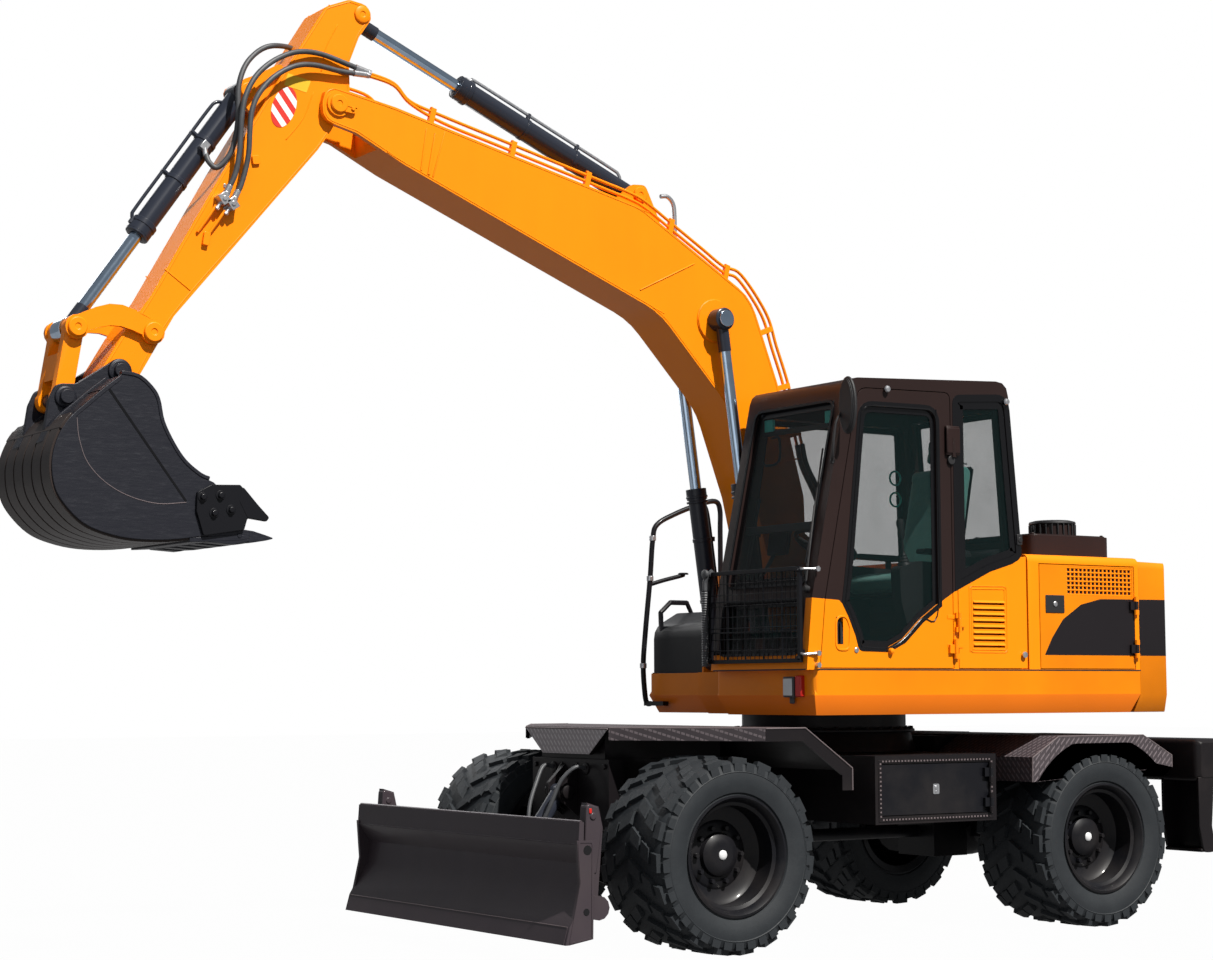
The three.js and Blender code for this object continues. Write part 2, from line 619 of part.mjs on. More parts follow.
function engineHood() {
  const section = [
    [-deckHalf, deckTop + seatGap], [deckHalf, deckTop + seatGap],
    [deckHalf, hoodTop, 45], [-deckHalf, hoodTop, 45],
  ];
  const shell = crossPlate(section, bayRear, hoodFront);
  const room = box([bayRear - 10, hoodFront - skin], [-deckHalf + skin + 20, deckHalf - skin - 20],
    [deckTop - 10, hoodTop - skin]);
  const openings = sides.map(([, side]) => box([engineDoorX[0] - runningGap, engineDoorX[1] + runningGap],
    span(side, deckHalf - 100, deckHalf + 10), [doorBottom - runningGap, engineDoorTop + runningGap]));
  return join(cut(shell, room, ...openings), ...sides.flatMap(([, side]) => engineDoorHinges(side).fixed));
}
function engineDoor(side) {
  const panel = box(engineDoorX, span(side, deckHalf - skin, deckHalf), [doorBottom, engineDoorTop]);
  const grille = box([-1625, -1085], span(side, deckHalf - 12, deckHalf + 5), [1955, 2122]);
  return join(cut(panel, grille), ...engineDoorHinges(side).moving);
}
add('engine_hood', engineHood(), orange);
for (const [word, side] of sides) add(`engine_door_${word}`, engineDoor(side), orange);
add('engine_block', box([-1560, -950], [-480, 430], [deckTop + seatGap, 2050]), ramGrey);

function intakeBox() {
  const body = flatPlate([[-985, 1020, 60], [-1640, 1020, 60], [-1640, 450, 60], [-985, 450, 60]],
    hoodTop + seatGap, 2322);
  return join(body, bar([-1395, 770, 2310], [-1395, 770, 2425], 140, roundSides, 132));
}
add('intake_box', intakeBox(), cabBrown);

// ---------------------------------------------------------------- left service door
const serviceX = [hoodFront + 13, -236];
const serviceDoor = [
  [serviceX[1], doorBottom], [serviceX[1], 1968], [-467, 2076], [-663, 2150], [serviceX[0], 2172],
  [serviceX[0], doorBottom],
];
const serviceHinges = hinges(serviceX[1] + 8, [1780], 1, -1, deckHalf);
const cabDoorHinges = hinges(-200, [1630, 2780], 1, 1, deckHalf);
function servicePanel() {
  const panel = sidePlate(serviceDoor, deckHalf - skin, deckHalf);
  const louvres = Array.from({ length: 8 }, (_, row) => {
    const z = 1640 + row * 35;
    return box([-590, -345], [deckHalf - skin - 5, deckHalf + 5], [z, z + 12]);
  });
  return join(cut(panel, ...louvres), ...serviceHinges.moving);
}
add('service_door', servicePanel(), orange);

// ---------------------------------------------------------------- cab
const cabSide = [cabFrontLow, cabFrontKnee, [...cabRoofFront, 90], [...cabRoofRear, 90], cabRearLow];
const doorSide = [
  [cabFrontLow[0] - doorFront, doorBottom], [cabFrontKnee[0] - doorFront, cabFrontKnee[1]],
  [cabRoofFront[0] - doorFront + 20, 3080, 70], [doorRear, 3095, 40], [doorRear, doorBottom],
];
const doorPane = [
  [456, 2985, 90], [556, 2115], [590, 1885, 20], [548, 1815], [499, 1710], [478, 1640, 15], [286, 1636],
  [176, 1686], [46, 1799], [-85, 1885], [-85, 2990, 80],
];
const quarterPane = [
  [-252, 3050, 20], [-610, 3075, 60], [-690, 2190, 20], [-640, 2165], [-467, 2115], [-252, 2020],
];
const rearPane = { y: [400, 1110], z: [2260, 3020] };
const rightPane = [[470, 2990, 60], [640, 2050, 40], [640, 1700, 40], [-600, 1700, 40], [-560, 2990, 60]];
const frontPaneY = [cabInner + 85, deckHalf - 85];
const upperPaneZ = [1985, 3010];
const lowerPaneZ = [1600, 1890];

// X of the cab's front face at a height.
function frontX(z) {
  const [low, high] = z < cabFrontKnee[1] ? [cabFrontLow, cabFrontKnee] : [cabFrontKnee, cabRoofFront];
  return low[0] + ((z - low[1]) / (high[1] - low[1])) * (high[0] - low[0]);
}

function cabShell() {
  const outer = sidePlate(cabSide, cabInner, deckHalf);
  const hollow = sidePlate(inset(cabSide, cabWall), cabInner + cabWall, deckHalf - cabWall);
  const frontCut = (z) => box([430, 900], frontPaneY, z);
  const tools = [
    hollow, frontCut(upperPaneZ), frontCut(lowerPaneZ),
    sidePlate(inset(doorSide, -runningGap), deckHalf - cabWall - 5, deckHalf + 5),
    sidePlate(inset(serviceDoor, -runningGap), deckHalf - skin - runningGap, deckHalf + 5),
    sidePlate(quarterPane, deckHalf - cabWall - 5, deckHalf + 5),
    sidePlate(rightPane, cabInner - 5, cabInner + cabWall + 5),
    box([-800, -560], rearPane.y, rearPane.z),
  ];
  return join(cut(outer, ...tools), ...serviceHinges.fixed, ...cabDoorHinges.fixed);
}
function frontGlass([low, high]) {
  const z0 = low + seatGap;
  const z1 = high - seatGap;
  const depth = 20;
  return sidePlate([
    [frontX(z0) - depth, z0], [frontX(z1) - depth, z1],
    [frontX(z1) - depth - glass, z1], [frontX(z0) - depth - glass, z0],
  ], frontPaneY[0] + seatGap, frontPaneY[1] - seatGap);
}
function cabDoor() {
  const leaf = sidePlate(doorSide, deckHalf - skin, deckHalf);
  const handle = box([610, 660], [deckHalf - 22, deckHalf + 5], [1650, 1800]);
  const opening = sidePlate(doorPane, deckHalf - skin - 5, deckHalf + 5);
  return join(cut(leaf, opening, handle), ...cabDoorHinges.moving);
}
add('cab_shell', cabShell(), cabBrown);
add('cab_door', cabDoor(), cabBrown);
add('door_glass', sidePlate(inset(doorPane, seatGap), deckHalf - 20, deckHalf - 20 + glass), tinted);
add('windshield', frontGlass(upperPaneZ), tinted);
add('lower_windshield', frontGlass(lowerPaneZ), tinted);
add('quarter_glass', sidePlate(inset(quarterPane, seatGap), deckHalf - 12, deckHalf - 12 + glass), tinted);
add('right_glass', sidePlate(inset(rightPane, seatGap), cabInner + 12, cabInner + 12 + glass), tinted);

function rearGlass() {
  const lean = (cabRoofRear[0] - cabRearLow[0]) / (cabRoofRear[1] - cabRearLow[1]);
  const x = (z) => cabRearLow[0] + (z - cabRearLow[1]) * lean;
  const [z0, z1] = [rearPane.z[0] + seatGap, rearPane.z[1] - seatGap];
  return sidePlate([[x(z0) + 20, z0], [x(z0) + 20 + glass, z0], [x(z1) + 20 + glass, z1], [x(z1) + 20, z1]],
    rearPane.y[0] + seatGap, rearPane.y[1] - seatGap);
}
add('rear_glass', rearGlass(), tinted);

// The stone guard stands just in front of the lower window.
function frontGuard() {
  const [z0, z1] = [deckTop + 40, 2075];
  const [y0, y1] = [cabInner + 15, deckHalf - 25];
  const x = 872;
  const opening = box([x - 5, x + 30], [y0 + 22, y1 - 22], [z0 + 22, z1 - 22]);
  const frame = cut(box([x, x + 22], [y0, y1], [z0, z1]), opening);
  const uprights = Array.from({ length: 4 }, (_, i) => y0 + ((i + 1) * (y1 - y0)) / 5)
    .map((y) => box([x + 6, x + 14], [y - 4, y + 4], [z0 + 10, z1 - 10]));
  const bars = Array.from({ length: 2 }, (_, i) => z0 + ((i + 1) * (z1 - z0)) / 3)
    .map((z) => box([x + 6, x + 14], [y0 + 10, y1 - 10], [z - 4, z + 4]));
  const footX = [frontX(z0 + 50) + seatGap, x + 5];
  const feet = [y0 + 11, y1 - 11].map((y) => box(footX, [y - 10, y + 10], [z0 + 50, z0 + 70]));
  return join(frame, ...uprights, ...bars, ...feet);
}
add('front_guard', frontGuard(), black);

function mirror() {
  const x = 628;
  const [y, z] = [1300, 2965];
  const head = crossPlate([
    [y - 70, z - 150, 60], [y + 70, z - 150, 60], [y + 70, z + 150, 60], [y - 70, z + 150, 60],
  ], x - 15, x + 25);
  const arm = rail([[frontX(2990) - 40, deckHalf + 9, 2990], [x + 5, deckHalf + 12, 2990], [x + 5, y, z]], 9, 8);
  return join(head, arm);
}
add('mirror', mirror(), black);

function seat() {
  const cushion = flatPlate([[60, 540, 60], [60, 1020, 60], [-430, 1020, 60], [-430, 540, 60]], 1960, 2080);
  const back = sidePlate([[-310, 2060], [-430, 2060], [-550, 2720, 40], [-450, 2740, 40]], 550, 1010);
  const head = sidePlate([[-465, 2730], [-545, 2730], [-560, 2900, 30], [-485, 2900, 30]], 660, 900);
  const base = box([-360, -20], [620, 940], [cabFloor + seatGap, 1970]);
  return join(cushion, back, head, base);
}
function consoles() {
  const floor = cabFloor + seatGap;
  const boxes = [[430, 520], [1040, 1120]].map(([low, high]) => box([-430, 120], [low, high], [floor, 2130]));
  const levers = [475, 1080].map((y) => bar([60, y, 2120], [90, y, 2330], 18, 8, 26));
  const mat = box([-460, 600], [400, 1130], [floor, floor + 8]);
  const seatWell = box([-380, 0], [600, 960], [floor - 5, floor + 20]);
  const column = join(
    box([480, 570], [730, 830], [floor, floor + 60]),
    bar([520, 780, floor + 20], [400, 780, 2220], 45, 8),
    bar([405, 780, 2200], [385, 780, 2235], 190, 20),
  );
  const pedals = [640, 900].map((y) => box([540, 560], [y - 45, y + 45], [floor, floor + 170]));
  return join(cut(mat, seatWell), ...boxes, ...levers, column, ...pedals);
}
add('operator_seat', seat(), fabric);
add('control_consoles', consoles(), black);

// ---------------------------------------------------------------- right side
add('fuel_tank', flatPlate([[-150, -420, 40], [hoodFront + seatGap, -420], [hoodFront + seatGap, -deckHalf],
  [-150, -deckHalf, 60]], deckTop + seatGap, 2150), orange);

function rightLocker() {
  const y = -1120;
  const body = sidePlate([
    [-135, deckTop + seatGap], [245, deckTop + seatGap], [245, 1800, 120], [60, 1900, 60], [-135, 1900],
  ], -1170, -620);
  const hoop = rail([[215, y, 1560], [225, y, 1900], [150, y, 1965], [20, y, 1965], [-20, y, 1890]], 16);
  return join(body, hoop);
}
add('right_locker', rightLocker(), black);

function handrail() {
  const y = -1185;
  const low = [290, y, 1330];
  const stay = rail([
    low, [320, y, 1560], [232, y, 2464], [-80, y, 2600], [-299, y, 2648], [-299, y, 2150 + seatGap],
  ], 17);
  const middle = rail([[270, y, 2080], [0, y, 2160 + seatGap * 2]], 14);
  const foot = box([deckFrontRight + seatGap, 305], [y - 15, y + 200], [1305, 1335]);
  return join(stay, middle, foot);
}
add('handrail', handrail(), black);

// ---------------------------------------------------------------- boom
const boomSide = [
  [boomFoot[0] + 150, boomFoot[1] - 20, 60], [430, 2560], [625, 3080, 500], [1110, 3590, 500], [2800, 4262, 300],
  [3090, 4400, 80], [stickPivot[0] + 95, stickPivot[1] - 95, 90], [stickPivot[0] + 85, stickPivot[1] + 105, 90],
  [2850, 4572, 300], [1240, 4200, 400], [448, 3738, 300], [252, 3235, 400], [62, 2560, 200],
  [boomFoot[0] - 148, boomFoot[1] + 20, 60], [boomFoot[0] - 60, boomFoot[1] - 140, 90],
  [boomFoot[0] + 90, boomFoot[1] - 140, 90],
];
const lugPlate = 28;
const armEyeHalf = 64;

function boom() {
  const body = sidePlate(boomSide, -boomHalf, boomHalf);
  const slot = box([stickPivot[0] - 255, stickPivot[0] + 300], [-forkSlotHalf, forkSlotHalf], [4100, 4800]);
  const tipPin = crossBar(stickPivot, 42, -boomHalf - 22, boomHalf + 22);
  const boss = (centre, radius, height) => sides.map(([, side]) => (
    crossBar(centre, radius, ...span(side, boomHalf - 5, boomHalf + height), roundSides)));
  const lugs = sides.map(([, side]) => sidePlate([
    [1060, 4060], [1060, 4150, 20], [armRamBase[0] - 40, armRamBase[1] + 62, 40],
    [armRamBase[0] + 55, armRamBase[1] + 55, 50], [1420, 4200],
  ], ...span(side, armEyeHalf + runningGap, armEyeHalf + runningGap + lugPlate)));
  const lugPin = crossBar(armRamBase, 34, -armEyeHalf - 45, armEyeHalf + 45);
  const saddle = box([1000, 1350], [-armEyeHalf - 40, armEyeHalf + 40], [3900, 4050]);
  const bosses = [...boss(stickPivot, 68, 12), ...boss(boomEye, 125, 14)];
  return cut(join(cut(body, slot), tipPin, ...bosses, ...lugs, lugPin, saddle),
    bore(boomFoot, 45, -boomHalf - 5, boomHalf + 5));
}
add('boom', boom(), orange);

const boomRams = sides.map(([, side]) => ram({
  base: boomRamBase, eye: boomEye, y: side * boomRamY, barrelRadius: 54, rodRadius: 34, barrelLength: 1030,
  out: 90, back: 585, baseHalf: ramEyeHalf, eyeHalf: 40, eyeRadius: 62,
}));
const ramPin = crossBar(boomRamBase, 32, -boomRamY - 55, boomRamY + 55);
add('boom_ram_barrels', join(boomRams[0].barrel, boomRams[1].barrel, ramPin), ramGrey);
sides.forEach(([word, side], i) => {
  const cap = crossBar(boomEye, 50, ...span(side, boomRamY + 30, boomRamY + 62), roundSides);
  add(`boom_ram_rod_${word}`, boomRams[i].rod.add(cap), chrome);
});

const armRam = ram({
  base: armRamBase, eye: stickTail, y: 0, barrelRadius: 62, rodRadius: 36, barrelLength: 1270,
  out: 515, back: 280, baseHalf: armEyeHalf, eyeHalf: armEyeHalf, eyeRadius: 60, pinRadius: 34,
});
add('arm_ram_barrel', armRam.barrel, ramGrey);
add('arm_ram_rod', armRam.rod, chrome);

// ---------------------------------------------------------------- stick
const stickSide = [
  [3120, 5140, 60], [3000, 5125, 60], [2985, 5050, 30], [3060, 4940], [3118, 4790, 60], [3112, 4600, 60],
  [3225, 4400, 80], [3300, 4290, 60], [3672, 3844], [4110, 3320], [4330, 2935, 60], [4430, 2905, 60],
  [4512, 2990, 60], [4385, 3205, 60], [4240, 3410], [3825, 4147], [3545, 4620, 60], [3260, 5080, 60],
];
function stick() {
  const body = sidePlate(stickSide, -stickHalf, stickHalf);
  const tailSlot = sidePlate([[2900, 5200], [3190, 5200], [3170, 5010, 60], [3095, 4900], [2900, 4780]],
    -armEyeHalf - runningGap, armEyeHalf + runningGap);
  const lugs = sides.map(([, side]) => sidePlate([
    [3480, 4640], [3500, 4745, 30], [3640, 4660, 60], [bucketRamBase[0] + 70, bucketRamBase[1] + 40, 60],
    [bucketRamBase[0] + 20, bucketRamBase[1] - 75, 50], [3640, 4400],
  ], ...span(side, armEyeHalf + runningGap, armEyeHalf + runningGap + lugPlate)));
  const lugPin = crossBar(bucketRamBase, 34, -armEyeHalf - 42, armEyeHalf + 42);
  return cut(join(cut(body, tailSlot), ...lugs, lugPin),
    bore(stickPivot, 42, -stickHalf - 5, stickHalf + 5),
    bore(rockerPivot, 34, -stickHalf - 5, stickHalf + 5),
    bore(bucketPivot, 38, -stickHalf - 5, stickHalf + 5));
}
add('stick', stick(), orange);

const bucketRam = ram({
  base: bucketRamBase, eye: linkPin, y: 0, barrelRadius: 58, rodRadius: 34, barrelLength: 985,
  out: 235, back: 430, baseHalf: armEyeHalf, eyeHalf: armEyeHalf, eyeRadius: 64, pinRadius: 34,
});
add('bucket_ram_barrel', bucketRam.barrel, ramGrey);
add('bucket_ram_rod', bucketRam.rod, chrome);

function rocker() {
  const arch = (low, high) => {
    const mid = [(rockerPivot[0] + linkPin[0]) / 2, (rockerPivot[1] + linkPin[1]) / 2 + 95];
    return join(
      sidePlate([
        [rockerPivot[0] - 20, rockerPivot[1] - 45], [rockerPivot[0] - 35, rockerPivot[1] + 45, 20],
        [mid[0], mid[1] + 60, 250], [linkPin[0] + 35, linkPin[1] + 45, 20], [linkPin[0] + 20, linkPin[1] - 45],
        [mid[0], mid[1] - 60, 250],
      ], low, high),
      crossBar(rockerPivot, 62, low, high, roundSides), crossBar(linkPin, 62, low, high, roundSides),
    );
  };
  const plates = sides.map(([, side]) => arch(...span(side, earGap, earGap + 26)));
  return join(...plates, crossBar(rockerPivot, 34, -earGap - 36, earGap + 36));
}
add('rocker', rocker(), orange);

const linkInner = armEyeHalf + 7;
function hLink() {
  const [kx, kz] = linkPin;
  const [lx, lz] = bucketLink;
  const leg = (low, high) => join(
    sidePlate([[kx - 48, kz], [lx - 48, lz], [lx + 48, lz], [kx + 48, kz]], low, high),
    crossBar(linkPin, 56, low, high, roundSides), crossBar(bucketLink, 56, low, high, roundSides),
  );
  const web = sidePlate([[kx + 5, kz - 130], [lx - 40, lz + 95], [lx + 30, lz + 95], [kx + 70, kz - 130]],
    -linkInner - 10, linkInner + 10);
  const legs = sides.map(([, side]) => leg(...span(side, linkInner, stickHalf)));
  return cut(join(...legs, web), bore(bucketLink, 34, -stickHalf - 5, stickHalf + 5));
}
add('h_link', hLink(), orange);

// ---------------------------------------------------------------- bucket
const bucketOuter = [
  [4583, 2800, 30], [4727, 2755, 60], [4803, 2685, 60], [4853, 2560, 80], [4837, 2433, 100], [4720, 2280, 140],
  [4483, 2172, 160], [4283, 2155], [3880, 2185], [3875, 2225], [4011, 2414], [4136, 2495, 60], [4239, 2633],
  [4300, 2760, 20],
];
function bucket() {
  const body = sidePlate(bucketOuter, -bucketHalf, bucketHalf);
  const hollow = sidePlate([
    [4560, 2762, 30], [4705, 2712, 60], [4775, 2655, 60], [4815, 2550, 80], [4798, 2445, 100], [4690, 2315, 140],
    [4470, 2212, 160], [4283, 2192], [3800, 2215], [3700, 2500], [4100, 2760], [4290, 2790],
  ], -bucketHalf + 25, bucketHalf - 25);
  const ears = sides.map(([, side]) => sidePlate([
    [4290, 2730], [bucketPivot[0] - 85, bucketPivot[1], 60], [bucketPivot[0], bucketPivot[1] + 95, 60],
    [bucketPivot[0] + 90, bucketPivot[1] + 40, 40], [bucketLink[0] + 55, bucketLink[1] + 70, 60],
    [bucketLink[0] + 85, bucketLink[1] - 60, 50], [4760, 2735], [4560, 2770],
  ], ...span(side, earGap, earGap + 32)));
  const pins = [[bucketPivot, 38], [bucketLink, 34]].map(([centre, radius]) =>
    crossBar(centre, radius, -earGap - 44, earGap + 44));
  const teeth = Array.from({ length: 5 }, (_, i) => {
    const y = (i - 2) * (bucketHalf * 2 - 90) / 4;
    return sidePlate([[3960, 2150], [3960, 2245], [3830, 2235], [3657, 2178], [3830, 2150]], y - 40, y + 40);
  });
  const cutters = sides.map(([, side]) => sidePlate([
    [4122, 2389, 20], [4060, 2470], [3906, 2442], [3731, 2290], [3768, 2262], [3960, 2290],
  ], ...span(side, bucketHalf - 5, bucketHalf + 22)));
  return join(cut(body, hollow), ...ears, ...pins, ...teeth, ...cutters);
}
add('bucket', bucket(), bucketGrey);

// ---------------------------------------------------------------- origin and pivots
const bounds = new THREE.Box3().setFromObject(group);
const middle = bounds.getCenter(new THREE.Vector3());
group.position.set(-middle.x, -middle.y, -bounds.min.z);
group.userData.pivots = {
  boomFoot, boomRamBase, boomEye, stickPivot, stickTail, armRamBase, bucketRamBase, rockerPivot, linkPin,
  bucketPivot, bucketLink, bladePivot, bladeRamBase, bladeRamEye, swing: [swingX, 0],
  kingpin: [frontAxleX, kingpinY], axles: [frontAxleX, rearAxleX, wheelMiddle, axleHeight],
  cabDoor: [-200, deckHalf + hingeOut], serviceDoor: [serviceX[1] + 8, deckHalf + hingeOut],
  engineDoor: [engineDoorX[0] - 2.5, deckHalf + hingeOut], toolboxDoor: [lidX[0] - 2.5, toolboxFace + hingeOut],
};

export default group;
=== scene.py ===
import json
import math

import bpy
import bmesh
from mathutils import Matrix, Vector

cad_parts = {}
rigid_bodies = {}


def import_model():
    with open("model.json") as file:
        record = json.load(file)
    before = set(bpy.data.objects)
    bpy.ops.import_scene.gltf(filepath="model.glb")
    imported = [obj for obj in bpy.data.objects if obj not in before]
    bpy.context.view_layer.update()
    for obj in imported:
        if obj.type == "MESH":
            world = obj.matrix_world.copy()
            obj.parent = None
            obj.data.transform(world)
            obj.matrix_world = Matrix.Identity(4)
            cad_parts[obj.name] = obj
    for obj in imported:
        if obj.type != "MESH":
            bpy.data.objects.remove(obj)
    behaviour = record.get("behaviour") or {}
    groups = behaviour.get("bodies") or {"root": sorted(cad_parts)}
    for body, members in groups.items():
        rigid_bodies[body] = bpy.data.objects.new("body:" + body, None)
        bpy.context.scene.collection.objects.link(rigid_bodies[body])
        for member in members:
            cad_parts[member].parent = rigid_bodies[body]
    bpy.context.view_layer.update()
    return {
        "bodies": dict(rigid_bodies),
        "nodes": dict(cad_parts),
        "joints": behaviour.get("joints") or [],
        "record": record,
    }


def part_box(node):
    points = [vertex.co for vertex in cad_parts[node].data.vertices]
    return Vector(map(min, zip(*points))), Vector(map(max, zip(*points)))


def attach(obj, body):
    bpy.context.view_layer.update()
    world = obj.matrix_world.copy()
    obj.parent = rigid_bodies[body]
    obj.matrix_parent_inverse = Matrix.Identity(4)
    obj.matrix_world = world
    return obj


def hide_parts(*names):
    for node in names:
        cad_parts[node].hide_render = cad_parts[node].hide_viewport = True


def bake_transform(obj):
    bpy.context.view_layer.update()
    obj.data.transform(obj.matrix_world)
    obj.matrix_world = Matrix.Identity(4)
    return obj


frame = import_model()
nodes = frame["nodes"]

# The CAD is laid out from the middle of the wheelbase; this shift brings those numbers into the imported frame.
wheelBoxes = [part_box(name) for name in ("tyre_front_left", "tyre_rear_right")]
middle = sum((low + high for low, high in wheelBoxes), Vector()) / 4
middle.z = 0


def at(x, y, z):
    return Vector((x, y, z)) + middle


# The camera, placed from the middle of the wheelbase.
view = {
    "eye": (8.8351, 11.3295, 1.393),
    "yaw": -33.3613,     # degrees from -Y towards -X
    "pitch": 5.1413,
    "roll": -0.1864,
    "lens": 69.92,
}


def makeCamera():
    yaw, pitch, roll = (math.radians(view[key]) for key in ("yaw", "pitch", "roll"))
    look = Vector((math.sin(yaw) * math.cos(pitch), -math.cos(yaw) * math.cos(pitch), math.sin(pitch)))
    right = look.cross(Vector((0, 0, 1))).normalized()
    up = right.cross(look)
    turnedRight = right * math.cos(roll) + up * math.sin(roll)
    turnedUp = turnedRight.cross(look)
    data = bpy.data.cameras.new("camera")
    data.lens = view["lens"]
    data.sensor_width = 36
    data.clip_end = 200
    camera = bpy.data.objects.new("camera", data)
    camera.matrix_world = Matrix.Translation(at(*view["eye"])) @ Matrix((turnedRight, turnedUp,
        -look)).transposed().to_4x4()
    bpy.context.scene.collection.objects.link(camera)
    bpy.context.scene.camera = camera


makeCamera()
bpy.context.scene.view_settings.view_transform = "Standard"
print("camera ready")


# A Wire is an output of a shader node that can be used in sums.
class Wire:
    def __init__(self, graph, socket):
        self.graph = graph
        self.socket = socket

    def math(self, operation, other, flipped=False):
        pair = (other, self) if flipped else (self, other)
        return self.graph.add("ShaderNodeMath", {"operation": operation}, {0: pair[0], 1: pair[1]})

    def __add__(self, other): return self.math("ADD", other)
    def __radd__(self, other): return self.math("ADD", other, True)
    def __sub__(self, other): return self.math("SUBTRACT", other)
    def __rsub__(self, other): return self.math("SUBTRACT", other, True)
    def __mul__(self, other): return self.math("MULTIPLY", other)
    def __rmul__(self, other): return self.math("MULTIPLY", other, True)
    def __truediv__(self, other): return self.math("DIVIDE", other)
    def __rtruediv__(self, other): return self.math("DIVIDE", other, True)
    def __gt__(self, other): return self.math("GREATER_THAN", other)
    def __lt__(self, other): return self.math("LESS_THAN", other)
    def __mod__(self, other): return self.math("FLOORED_MODULO", other)


class Graph:
    def __init__(self, name):
        self.material = bpy.data.materials.new(name)
        self.material.use_nodes = True
        self.tree = self.material.node_tree
        self.shader = self.tree.nodes["Principled BSDF"]
        self.place = self.add("ShaderNodeTexCoord", out="Object")

    def add(self, kind, settings=None, inputs=None, out=0):
        node = self.tree.nodes.new(kind)
        for key, value in (settings or {}).items():
            if key == "stops":
                self.fillRamp(node.color_ramp, value)
            else:
                setattr(node, key, value)
        for key, value in (inputs or {}).items():
            self.feed(node.inputs[key], value)
        return Wire(self, node.outputs[out])

    def fillRamp(self, ramp, stops):
        while len(ramp.elements) < len(stops):
            ramp.elements.new(0.5)
        for element, (position, value) in zip(ramp.elements, stops):
            element.position = position
            element.color = (*value, 1) if isinstance(value, tuple) else (value, value, value, 1)

    def feed(self, socket, value):
        if isinstance(value, Wire):
            self.tree.links.new(value.socket, socket)
        elif isinstance(value, tuple) and len(value) == 3 and socket.type == "RGBA":
            socket.default_value = (*value, 1)
        else:
            socket.default_value = value

    def noise(self, scale, detail=3, roughness=0.5, vector=None):
        return self.add("ShaderNodeTexNoise", inputs={
            "Vector": vector or self.place, "Scale": scale, "Detail": detail, "Roughness": roughness}, out=0)

    def ramp(self, value, stops, interpolation="LINEAR"):
        node = self.add("ShaderNodeValToRGB", {"stops": stops}, {0: value})
        node.socket.node.color_ramp.interpolation = interpolation
        return node

    def mix(self, factor, first, second):
        return self.add("ShaderNodeMix", {"data_type": "RGBA"}, {0: factor, 6: first, 7: second}, out=2)

    def stretch(self, scale):
        return self.add("ShaderNodeMapping", inputs={"Vector": self.place, "Scale": scale})

    def axes(self):
        split = self.add("ShaderNodeSeparateXYZ", inputs={0: self.place}).socket.node
        return [Wire(self, split.outputs[i]) for i in range(3)]

    def finish(self, height=None, bump=0.2, distance=0.002, **inputs):
        for key, value in inputs.items():
            self.feed(self.shader.inputs[key.replace("_", " ")], value)
        if height is not None:
            normal = self.add("ShaderNodeBump", inputs={"Strength": bump, "Distance": distance, "Height": height})
            self.feed(self.shader.inputs["Normal"], normal)
        return self.material


# Colours as linear light.
colours = {
    "orange": (0.92, 0.25, 0.0004),
    "orangeShade": (0.86, 0.205, 0.0004),
    "cab": (0.024, 0.013, 0.012),
    "chassis": (0.0085, 0.0068, 0.008),
    "black": (0.0045, 0.0048, 0.007),
    "dust": (0.085, 0.07, 0.06),
    "bucket": (0.0075, 0.0085, 0.015),
    "worn": (0.04, 0.042, 0.052),
    "ram": (0.02, 0.024, 0.036),
    "rubber": (0.0065, 0.0095, 0.013),
}


def paint(name, colour, shade, gloss=0.38, coat=0.06, dust=0.05, orangePeel=0.05):
    g = Graph(name)
    x, y, z = g.axes()
    cloud = g.noise(2.2, 4)
    speck = g.noise(140, 2)
    streak = g.noise(9, 4, vector=g.stretch((1, 1, 0.18)))
    tone = g.mix(g.ramp(cloud * 0.6 + streak * 0.4, [(0.35, 0.0), (0.68, 0.35)]), colour, shade)
    dirt = g.ramp(g.noise(3.4, 6, 0.62) + (1.2 - z) * 0.12, [(0.52, 0.0), (0.8, dust * 4)])
    return g.finish(Base_Color=g.mix(dirt, tone, colours["dust"]), Roughness=gloss + speck * 0.06 + dirt * 0.5,
        Coat_Weight=coat, Coat_Roughness=0.12, Specular_IOR_Level=0.2, height=g.noise(420, 2) * 0.5 + cloud,
        bump=orangePeel, distance=0.003)


orangePaint = paint("orangePaint", colours["orange"], colours["orangeShade"], dust=0.01)
cabPaint = paint("cabPaint", colours["cab"], (0.014, 0.008, 0.008), gloss=0.33, dust=0.02)
chassisPaint = paint("chassisPaint", colours["chassis"], (0.0048, 0.004, 0.0048), gloss=0.4, coat=0.1, dust=0.02)
bladePaint = paint("bladePaint", (0.046, 0.036, 0.043), (0.026, 0.02, 0.025), gloss=0.36, coat=0.15, dust=0.03)
blackPaint = paint("blackPaint", colours["black"], (0.004, 0.004, 0.006), gloss=0.4, coat=0.1, dust=0.03)
ramPaint = paint("ramPaint", colours["ram"], (0.012, 0.014, 0.022), gloss=0.3, coat=0.3, dust=0.02)


def makeChrome():
    g = Graph("rodChrome")
    rings = g.noise(260, 2, vector=g.stretch((1, 1, 0.1)))
    # The blue in the chrome's colour is a painted reflection of sky.
    return g.finish(Base_Color=g.mix(g.noise(14, 3), (0.36, 0.5, 0.68), (0.62, 0.74, 0.88)), Metallic=1.0,
        Roughness=0.12 + rings * 0.08, height=rings, bump=0.03, distance=0.001)


def makeBucketSteel():
    g = Graph("bucketSteel")
    scratch = g.noise(30, 5, 0.7, vector=g.stretch((0.5, 1, 3)))
    mask = g.ramp(scratch, [(0.56, 0.0), (0.75, 0.35)])
    return g.finish(Base_Color=g.mix(mask, colours["bucket"], colours["worn"]), Roughness=0.34 + scratch * 0.25,
        Metallic=0.25, height=scratch + g.noise(90, 3) * 0.4, bump=0.25, distance=0.003)


